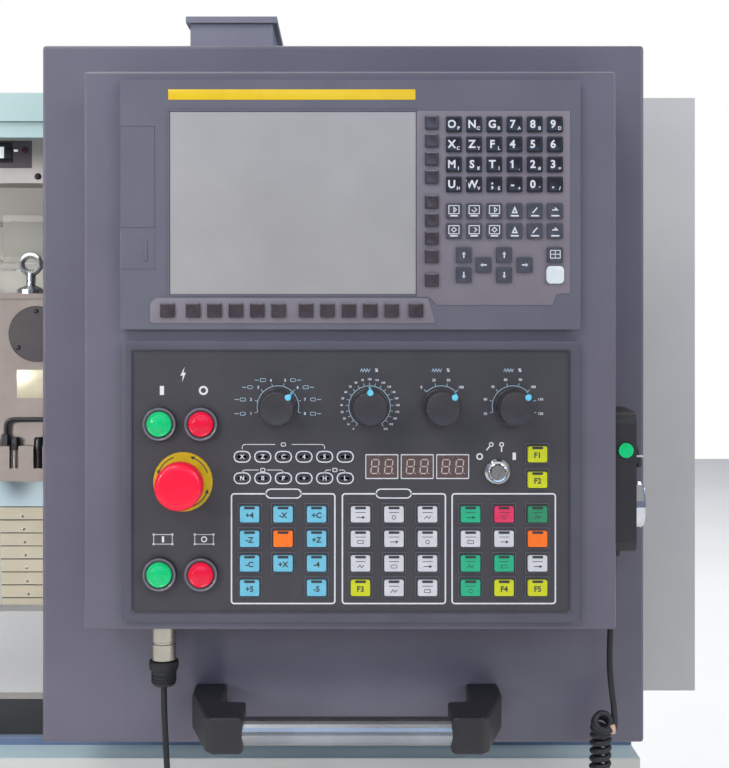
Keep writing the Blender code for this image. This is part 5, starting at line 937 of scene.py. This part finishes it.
def make_indicators():
    """The oval indicator lamps in two rows, and three two-digit displays."""
    face = PANEL_FACE
    first, pitch = -93.1, 17.75
    outlines, lenses, rows = [], [], []
    for v, letters in ((-91.2, "XZC451"), (-109.7, "N0P+HL")):
        for i, letter in enumerate(letters):
            u = first + pitch * i
            outlines.append(box_line(u, v, 13.9, 9.2, 4.4, 1.0, face))
            lenses.append(key_top(u, v, 12.0, 7.3, face, face - 0.0007, 3.5, -0.2, 0.6))
            rows.append((letter, u, v, 3.6, face - 0.00093))
    bow = 2.5
    brackets = ((-93.1, -22.1, -80.6, 4.0), (-93.1, -57.6, -102.6, 3.0), (-22.1, -4.3, -102.6, 3.0))
    for u0, u1, v, drop in brackets:
        middle = (u0 + u1) / 2
        gap = 7.0 if u1 - u0 > 50 else 3.5
        left = arc((u0 + bow, v - bow), bow, 180, -90, 4)
        right = arc((u1 - bow, v - bow), bow, 90, -90, 4)
        outlines.append(ribbon([(u0, v - drop), *left, (middle - gap, v)], 0.6, face))
        outlines.append(ribbon([(middle + gap, v), *right, (u1, v - drop)], 0.6, face))
        outlines.append(box_line(middle, v, 3.6, 2.8, 0.7, 0.7, face))
    on_panel("indicator_outlines", outlines, ink_white)
    on_panel("indicator_lenses", lenses, lamp_lens)
    on_panel("indicator_letters", [lettering(rows)], ink_white)
    windows, frames, digits = [], [], []
    for u in (27.15, 57.65, 88.15):
        windows.append(patch(rounded((u - 13.4, u + 13.4), (-109.4, -89.9), 0.3), face, 0.0002))
        frames.append(box_line(u, -99.65, 27.2, 20.3, 0.3, 1.1, face))
        for side in (-1, 1):
            digits += seven_segments(u + side * 5.9, -99.6, 7.4, 12.0, face - 0.0002)
    on_panel("display_windows", windows, led_window)
    on_panel("display_frames", frames, ink_white)
    on_panel("display_digits", digits, led_digit)


def seven_segments(u, v, width, height, face):
    """The figure eight of a seven segment display, leaning a little to the right, with its point."""
    w, h = width / 2 - 0.6, height / 2
    lean, inset, layer = 0.10, 0.7, 0.00005
    ends = [((-w, level), (w, level)) for level in (h, 0, -h)]
    ends += [((side, top), (side, top - h)) for top in (h, 0) for side in (-w, w)]
    made = []
    for (a, b), (c, d) in ends:
        length = math.hypot(c - a, d - b)
        s, t = (c - a) / length * inset, (d - b) / length * inset
        path = ((u + a + s + lean * (b + t), v + b + t), (u + c - s + lean * (d - t), v + d - t))
        made.append(ribbon(path, 0.95, face, False, layer))
    made.append(ribbon(((u + w + 0.5, v - h), (u + w + 1.3, v - h)), 0.9, face, False, layer))
    return made


def make_symbols():
    """Printed I and O marks, lightning mark, outlines of the key groups with their titles, and the rim."""
    face = PANEL_FACE
    bolt = (
        (-142.6, -13.6), (-146.4, -21.6), (-144.0, -21.0),
        (-144.8, -26.8), (-141.6, -18.6), (-143.8, -19.0),
    )
    marks = [ribbon(((-162.2, -38.0), (-162.2, -30.2)), 3.6, face)]
    marks.append(ribbon(arc((-126.5, -34.1), 3.1, 0, 351, 39), 1.7, face, True))
    marks.append(patch(bolt, face))
    row, half = -162.3, 0.9
    for u in (-161.3, -125.9):
        marks.append(box_line(u, row, 16.0, 8.2, 0.2, 0.5, face))
        for x, y in ((u + a, row + b) for a in (-8.0, 8.0) for b in (-4.1, 4.1)):
            marks.append(patch(rounded((x - half, x + half), (y - half, y + half), 0.2), face))
    marks.append(ribbon(((-161.3, -164.9), (-161.3, -159.7)), 1.9, face))
    marks.append(ribbon(arc((-125.9, row), 2.1, 0, 351, 26), 1.1, face, True))
    for ends in ((-102.3, -13.3), (-6.8, 81.9), (87.7, 176.6)):
        marks.append(ribbon(rounded(ends, (-217.6, -123.1), 2.4, 5), 1.25, face, True))
    titles, title_row = (-57.4, 37.4), -122.9
    for u in titles:
        marks.append(box_line(u, title_row, 30.2, 7.6, 3.7, 1.1, face))
        marks.append(ribbon(zigzag(u - 11, title_row, 1.0, 6), 0.5, face))
        marks.append(box_line(u, title_row, 4.4, 3.4, 0.8, 0.7, face))
        marks.append(ribbon(zigzag(u + 5, title_row, 1.0, 6), 0.5, face))
    marks.append(ribbon(arc((111.4, -91.0), 2.3, 0, 345, 23), 1.3, face, True))
    marks.append(ribbon(((141.2, -93.9), (141.2, -87.6)), 2.9, face))
    for u, turn in ((121.4, 40), (130.3, 0)):
        marks.append(ribbon(arc((u, -80.6), 1.6, 0, 330, 16), 0.9, face, True))
        marks.append(ribbon([about(u, -80.6, -far, turn) for far in (1.8, 6.4)], 1.1, face))
    on_panel("panel_symbols", marks, ink_white)
    masks = [patch(rounded((u - 14.4, u + 14.4), (-126.2, -119.6), 3.2), face, INK * 1.5) for u in titles]
    on_panel("title_capsules", masks, panel_film)
    u0, u1, v0, v1 = -196.3, 197.4, -233.7, 8.9
    section = ((0.1, 0.0), (0.1, -0.0001), (0.6, -0.00035), (7.6, -0.00035), (8.7, 0.0012), (8.9, 0.0014))
    rings = []
    for inset, y in section:
        outline = rounded((u0 + inset, u1 - inset), (v0 + inset, v1 - inset), 2.6)
        rings.append(([spot(*p) for p in outline], DISPLAY_FACE + y))
    # The rim's lighter bluish grey is a painted highlight.
    on_display("panel_frame", [stack(rings, closed=False)], rim_painted_highlight)


# Membrane keys: the finish and its two tones for each letter of the colour rows. In the rows of names "|"
# ends a row, "#" stands for a small picture, and "_" for no name; in the colour rows "_" is a gap.
KEY_COLOURS = {
    "b": ("blue_key", "66B6CE", "76C2D8"),
    "o": ("orange_key", "FA6C0C", "FF7C1C"),
    "w": ("white_key", "C9C8CB", "D5D4D6"),
    "y": ("yellow_key", "C6CA10", "D2D61A"),
    "g": ("green_key", "1EA878", "2AB486"),
    "d": ("deep_green_key", "268659", "2F9266"),
    "r": ("rose_key", "DA2A58", "E63A66"),
}
KEY_GROUPS = (
    (-57.8, "bbb bob bbb b_b", "+4 -X +C|-Z _ +Z|-C +X -4|+5 _ -5"),
    (37.55, "www www www yww", "# # #|# # #|# # #|F3 # #"),
    (132.15, "grd wwo ggw gyy", "# # #|# # _|# # #|# F4 F5"),
)


def key_places():
    """The (colour, u, v, name) of each membrane key."""
    places = [("y", 160.9, -88.9, "F1"), ("y", 160.9, -110.9, "F2")]
    for middle, colours, names in KEY_GROUPS:
        for r, (line, row) in enumerate(zip(colours.split(), names.split("|"))):
            for c, (code, name) in enumerate(zip(line, row.split())):
                if code != "_":
                    places.append((code, middle + 28.8 * (c - 1), -140.5 - 21.1 * r, name.strip("_")))
    return places


def key_picture(kind, u, v, top):
    """A line with a box, an arrow, a ring or a wave under it."""
    marks = [stroke(u, v, ((-4.4, 1.8), (4.4, 1.8)), 0.5, top)]
    if kind == 0:
        marks.append(box_line(u, v - 2.4, 5.0, 2.6, 0.4, 0.5, top))
    elif kind == 1:
        marks.append(stroke(u, v, ((-3.4, -2.4), (2.2, -2.4)), 0.6, top))
        marks.append(patch([(u + a, v + b) for a, b in ((1.6, -3.8), (4.0, -2.4), (1.6, -1.0))], top))
    elif kind == 2:
        marks.append(ribbon(arc((u, v - 2.4), 1.6, 0, 340, 17), 0.5, top, True))
    else:
        marks.append(stroke(u, v, ((-2.8, -3.8), (-0.6, -1.2), (1.0, -3.4), (3.0, -1.2)), 0.6, top))
    return marks


def make_membrane_keys():
    """The lit keys of the operator panel: frame, coloured cap with a dark window, name or picture."""
    face = PANEL_FACE
    front = face - 0.0031
    top = front + 0.00008
    caps = {code: [] for code in KEY_COLOURS}
    frames, windows, rows, marks = [], [], [], []
    for i, (code, u, v, name) in enumerate(key_places()):
        caps[code].append(key_top(u, v, 16.7, 13.7, face, front, 1.3, 0.1, 0.6))
        outer = rounded((u - 10.0, u + 10.0), (v - 8.2, v + 9.2), 0.8)
        frames.append(ribbon(outer, 0.55, face, True, 0.0005))
        windows.append(patch(rounded((u - 4.6, u + 4.6), (v + 4.6, v + 6.7), 0.5), front, 0.00015))
        if name == "#":
            marks += key_picture(i % 4, u, v, top)
        elif name:
            rows.append((name, u, v - 0.9, 4.6, top))
    for code, (name, low, high) in KEY_COLOURS.items():
        # Lit key caps: even satin plastic, so that their colours read clearly.
        look = surface(name, (low, high), (0.30, 0.42), 5, 0.35, 0.004)
        on_panel(name + "s", caps[code], look)
    on_panel("key_frames", frames, frame_grey)
    on_panel("key_windows", windows, lamp_lens)
    on_panel("key_names", [lettering(rows)], ink_dark)
    on_panel("key_marks", marks, ink_dark)


# Doorway, base and covers

def make_lamp():
    """The work lamp behind the header: cover, lit strip in its frame, signal lamp, sensor and screws."""
    front = -0.3300
    cover = block((-0.0597, 0.5383), (front + 0.0004, -0.3262), (1.5273, 1.5617))
    piece("lamp_cover", softened(cover, 0.0004), lamp_shade, "frame")
    outer_x, inner_x = (-0.0400, 0.5140), (-0.0300, 0.5032)
    outer_z, inner_z = (1.5340, 1.5594), (1.5394, 1.5540)
    bars = [
        block(x, (front - 0.0010, front + 0.0008), z)
        for x, z in (
            (outer_x, (inner_z[1], outer_z[1])),
            (outer_x, (outer_z[0], inner_z[0])),
            ((outer_x[0], inner_x[0]), inner_z),
            ((inner_x[1], outer_x[1]), inner_z),
        )
    ]
    bars = together([softened(bar, 0.0004) for bar in bars])
    piece("lamp_frame", bars, black_plastic, "frame")
    diffuser = block(inner_x, (front + 0.0001, front + 0.0008), inner_z)
    piece("lamp_diffuser", diffuser, lamp_glow, "frame")
    signal = block((0.5156, 0.5206), (front - 0.0002, front + 0.0008), (1.5480, 1.5506))
    piece("lamp_signal", signal, lamp_glow, "frame")
    sensor = studs([(0.5298, 1.5500)], "Y", front + 0.0004, 0.0040, -0.0015)
    piece("lamp_sensor", sensor, sensor_red, "frame")
    screws = studs([(x, 1.5164) for x in (-0.1000, 0.2200, 0.5462)], "Y", front, 0.0042, -0.0022)
    piece("lamp_screws", screws, screw_black, "frame")


def make_turret_details():
    """On the turret: round cover with screws, bare name plate with rivets, and black clamp bolts."""
    centre, face, cover_face = (0.49, 1.311), -0.1006, -0.1036
    cover = ((-0.1001, 0.0403), (-0.1030, 0.0403), (cover_face, 0.0396), (cover_face, 0))
    piece("turret_cover", turned("Y", centre, cover, 64), cover_brown, "cross_slide")
    places = [arc(centre, 0.0328, t, 0, 1)[0] for t in (90, 217, 323)]
    screws = studs(places, "Y", cover_face, 0.0034, -0.0018)
    piece("turret_cover_screws", screws, screw_black, "cross_slide")
    plate = block((0.4614, 0.5300), (face, -0.0999), (1.2183, 1.2588))
    piece("turret_plate", softened(plate, 0.0002), plate_brass, "cross_slide")
    places = [(x, z) for x in (0.4645, 0.5269) for z in (1.2214, 1.2557)]
    rivets = studs(places, "Y", face, 0.0015, -0.0009)
    piece("turret_plate_rivets", rivets, turned_steel, "cross_slide")
    bolt = (
        (1.1182, 0.0053), (1.1440, 0.0053), (1.1450, 0.0070),
        (1.1600, 0.0070), (1.1625, 0.0055), (1.1625, 0),
    )
    bolts = [turned("Z", (0.42575 + 0.0345 * i, -0.107), bolt, 6 if i % 2 else 24) for i in range(5)]
    piece("turret_bolts", together(bolts), screw_black, "cross_slide")


# The front of the cross slide's apron, how far each cover plate steps back from it, and how far it drops
APRON_FACE = 0.1383
PLATE_STEP = 0.0022
PLATE_DROP = 0.0217


def make_way_cover_details():
    """The wiper lip under each way cover plate, its black also a painted shade line under the plate's edge;
    the plates' rivets, the fixed last plate, and folded sheets, those turned from the light painted darker
    as shade.
    """
    wipers_and_shade_lines = [("cross_slide", APRON_FACE, 1.0230)]
    wipers_and_shade_lines += [(f"cover_plate_{k}", *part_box(f"cover_plate_{k}")[0][1:]) for k in range(1, 8)]
    # Each lip is a black rubber wiper, and its dark also stands in for the shade under the plate's lower
    # edge: partly painted shade.
    for name, face, low in wipers_and_shade_lines:
        lip = block((0.3726, 0.6544), (face + 0.0003, face + 0.0018), (low - 0.0015, low + 0.0002))
        piece(name + "_lip", lip, seal_rubber, name)
    across = (0.3724, 0.6546)
    last = block(across, (0.1556, 0.1561), (0.8400, 0.8700))
    piece("last_plate_face", last, plate_enamel, "saddle")
    # The middle and low sheets get the darker grey: painted shade.
    for name, ends, look in (
        ("saddle_top_sheet", (1.4894, 1.4996), sheet_enamel),
        ("saddle_middle_sheet", (1.4306, 1.4882), fold_painted_shade),
        ("saddle_low_sheet", (1.4205, 1.4294), fold_painted_shade),
    ):
        piece(name, softened(block(across, (0.1587, 0.1594), ends), 0.0003), look, "saddle")
    # The apron's folded sheets get the darker grey: painted shade.
    sheets = [block(across, (0.1375, 0.1387), ends) for ends in ((1.4091, 1.4196), (1.3560, 1.4079))]
    folds = together([softened(sheet, 0.0003) for sheet in sheets])
    piece("apron_top_sheets", folds, fold_painted_shade, "cross_slide")
    for k in range(1, 8):
        places = [(x, 1.0285 - PLATE_DROP * k) for x in (0.409 + 0.001 * k, 0.512, 0.614 - 0.001 * k)]
        rivets = studs(places, "Y", APRON_FACE + PLATE_STEP * k, 0.0022, -0.0007, 12)
        piece(f"cover_plate_{k}_rivets", rivets, turned_steel, f"cover_plate_{k}")


def make_base_details():
    """The base's edges with painted sky reflection and shade, a dark sheet in its sill as painted shade,
    the sill's flange, panel screws, feet and the arm's screws.
    """
    left, right, top = -1.3445, 1.2335, 0.894
    # The ledge's top: painted sky reflection.
    ledge = block((left, right), (-0.6495, -0.6112), (top, top + 0.0004))
    piece("base_ledge", ledge, ledge_painted_reflection, "frame")
    # The edge strip: painted shade with a painted blue reflection.
    section = ((-0.6115, 0), (-0.6115, 0.0076), (-0.6108, 0.0084), (-0.6027, 0.0084), (-0.6027, 0.0052))
    lip = prism([(y, top + rise) for y, rise in section], "X", left, right)
    piece("base_lip", lip, strip_painted_shade_and_reflection, "frame")
    # A near-black sheet across the sill: painted shade of the trough.
    trough_shade_sheet = block((left, right), (-0.6026, -0.4736), (top + 0.0050, top + 0.0056))
    piece("sill_painted_shade", trough_shade_sheet, trough_painted_shade, "frame")
    flange = block((-0.2695, right - 0.0005), (-0.4736, -0.4499), (top + 0.0050, top + 0.0058))
    piece("sill_flange", softened(flange, 0.0002), sheet_enamel, "frame")
    places = []
    for low, high in ((-1.21605, -0.5713), (-0.49393, 0.25398), (0.33135, 1.10505)):
        places += [(x, z) for x in (low + 0.03, (low + high) / 2, high - 0.03) for z in (0.29, 0.764)]
    piece("base_screws", studs(places, "Y", -0.653, 0.0070, -0.0032), screw_black, "frame")
    foot = ((0.0, 0.0), (0.0, 0.0560), (0.0130, 0.0560), (0.0150, 0.0548))
    pads = [turned("Z", (x, y), foot, 40) for x in (-1.205, -0.0555, 1.094) for y in (-0.46, 0.46)]
    piece("foot_pads", together(pads), seal_rubber, "frame")
    places = [(x, y) for x in (0.762, 0.886) for y in (-0.28, -0.14)]
    piece("arm_screws", studs(places, "Z", 1.6133, 0.0065, 0.0045), screw_black, "frame")


def make_window_seal():
    """The rubber seal round the sliding door's window."""
    front = -0.4768
    outer = rounded((-1.1290, -0.5410), (1.0560, 1.4840), 0.030, 6)
    inner = rounded((-1.1130, -0.5570), (1.0720, 1.4680), 0.018, 6)
    rings = [(inner, front + 0.004), (inner, front - 0.0012)]
    rings += [(outer, front - 0.0016), (outer, front + 0.0001)]
    piece("window_seal", stack(rings, closed=False), seal_rubber, "door")


make_lamp()
make_turret_details()
make_way_cover_details()
make_base_details()
make_window_seal()
make_display()
make_dials()
make_knobs()
make_switches()
make_hand_unit_grip()
make_indicators()
make_symbols()
make_membrane_keys()

# Finishes of the machine's own solids

for names, look in (
    (("pendant_box", "console_box"), slate_coat),
    (("pendant_arm",), arm_coat_painted_paler),
    (("display_unit", "card_cover"), bezel_plastic),
    (("screen",), screen_grey),
    (("operator_panel",), panel_film),
    (("base", "door_leaf", "electrical_cabinet", "cabinet_door"), cream_enamel),
    (("right_cover",), cover_enamel),
    (("front_guard",), grey_enamel),
    (("left_cover", "roof_header"), green_enamel),
    (("rear_wall", "work_lamp"), inner_enamel),
    (("headstock", "saddle", "turret_housing", "tailstock_body"), cast_enamel),
    (("spindle", "chuck_body", "turret_disc", "eye_bolt"), turned_steel),
    (("chuck_jaw_1", "chuck_jaw_2", "chuck_jaw_3", "tailstock_quill"), ground_steel),
    (("cross_slide",), apron_blue),
    ([f"cover_plate_{k}" for k in range(1, 8)], plate_enamel),
    (("door_handle", "coolant_pipe", "mpg_case"), black_plastic),
    (("handle_bracket_left", "handle_bracket_right"), black_plastic),
    (("door_window",), window_glass),
    (("handle_bar",), brushed_bar),
    (("key_switch", "mpg_wheel"), chrome),
    (("mpg_enable_button",), lens_green),
):
    for name in names:
        if name in NODES:
            for held in NODES[name].material_slots:
                held.material = look


# Studio

# The sky: height of each tone from level to overhead, warm below and cool just above
SKY = ((0.0, "C9C4C2"), (0.20, "9DBEF6"), (0.55, "F4F5F6"))
SKY_STRENGTH = 0.45
# Soft boxes: name, place, aim, size, spread in degrees, power in watts, colour
SOFT_BOXES = (
    ("key_soft_box", (-1.4, -3.6, 5.0), (0.9, -0.8, 1.2), (3.2, 2.4), 180, 108, "FFFFFF"),
    ("fill_soft_box", (4.4, -3.4, 3.4), (0.9, -0.6, 1.2), (2.6, 2.6), 180, 86, "FFFBF6"),
    ("doorway_soft_box", (-1.55, -3.1, 1.9), (0.34, 0.1, 1.18), (0.7, 0.7), 36, 5.4, "FFFDFA"),
    ("top_soft_box", (0.8, 3.4, 5.8), (0.8, 3.4, 0.0), (8.0, 6.0), 180, 245, "FFFFFF"),
    ("sky_soft_box", (0.9, -5.0, 2.65), (0.9, -0.8, 1.5), (3.4, 1.2), 180, 24, "A6CEFF"),
    ("wall_soft_box", (0.25, -0.06, 1.49), (0.32, 0.4, 1.47), (0.5, 0.08), 180, 0.85, "FFFDFA"),
    ("rear_soft_box", (-1.8, 5.2, 3.4), None, (3.4, 2.4), 180, 80, "FFFFFF"),
)


def make_studio():
    """Pale floor, white background, sky and soft boxes; a box with no aim faces the machine's middle."""
    floor = prism(rounded((-9.0, 9.0), (-9.0, 9.0), 2.0, 12), "Z", -0.02, -0.0005)
    ground = bpy.data.objects.new("studio_floor", floor)
    bpy.context.scene.collection.objects.link(ground)
    # Painted floor: matt and nearly white, with a faint unevenness.
    paint = surface("pale_studio_floor", ("F6F6F5", "FAFAFA"), (0.55, 0.7), 900, 6.0, 0.02)
    floor.materials.append(paint)
    world = bpy.data.worlds.new("studio")
    bpy.context.scene.world = world
    world.use_nodes = True
    tree = world.node_tree
    tree.nodes.clear()
    where = add_node(tree, "ShaderNodeTexCoord", {})
    split = add_node(tree, "ShaderNodeSeparateXYZ", {}, [(where, "Generated", "Vector")])
    sky = add_node(tree, "ShaderNodeValToRGB", {}, [(split, "Z", "Fac")])
    sky.color_ramp.elements.new(SKY[1][0])
    for stop, (place, code) in zip(sky.color_ramp.elements, SKY):
        stop.position, stop.color = place, tone(code)
    soft = add_node(tree, "ShaderNodeBackground", {"Strength": SKY_STRENGTH}, [(sky, "Color", "Color")])
    white = add_node(tree, "ShaderNodeBackground", {"Color": tone("FFFFFF"), "Strength": 1.0})
    ray = add_node(tree, "ShaderNodeLightPath", {})
    seen = add_node(tree, "ShaderNodeMixShader", {}, [(ray, "Is Camera Ray", "Fac")])
    tree.links.new(soft.outputs["Background"], seen.inputs[1])
    tree.links.new(white.outputs["Background"], seen.inputs[2])
    add_node(tree, "ShaderNodeOutputWorld", {}, [(seen, "Shader", "Surface")])
    middle = (Vector(cad_box[0]) + Vector(cad_box[1])) / 2
    for name, place, aim, size, spread, power, code in SOFT_BOXES:
        lamp = bpy.data.lights.new(name, "AREA")
        lamp.shape = "RECTANGLE"
        lamp.size, lamp.size_y = size
        lamp.spread = math.radians(spread)
        lamp.energy = power
        lamp.color = tone(code)[:3]
        held = bpy.data.objects.new(name, lamp)
        bpy.context.scene.collection.objects.link(held)
        held.location = place
        way = (Vector(aim) if aim else middle) - Vector(place)
        held.rotation_euler = way.to_track_quat("-Z", "Y").to_euler()
    bpy.context.scene.view_settings.view_transform = "Standard"


make_studio()
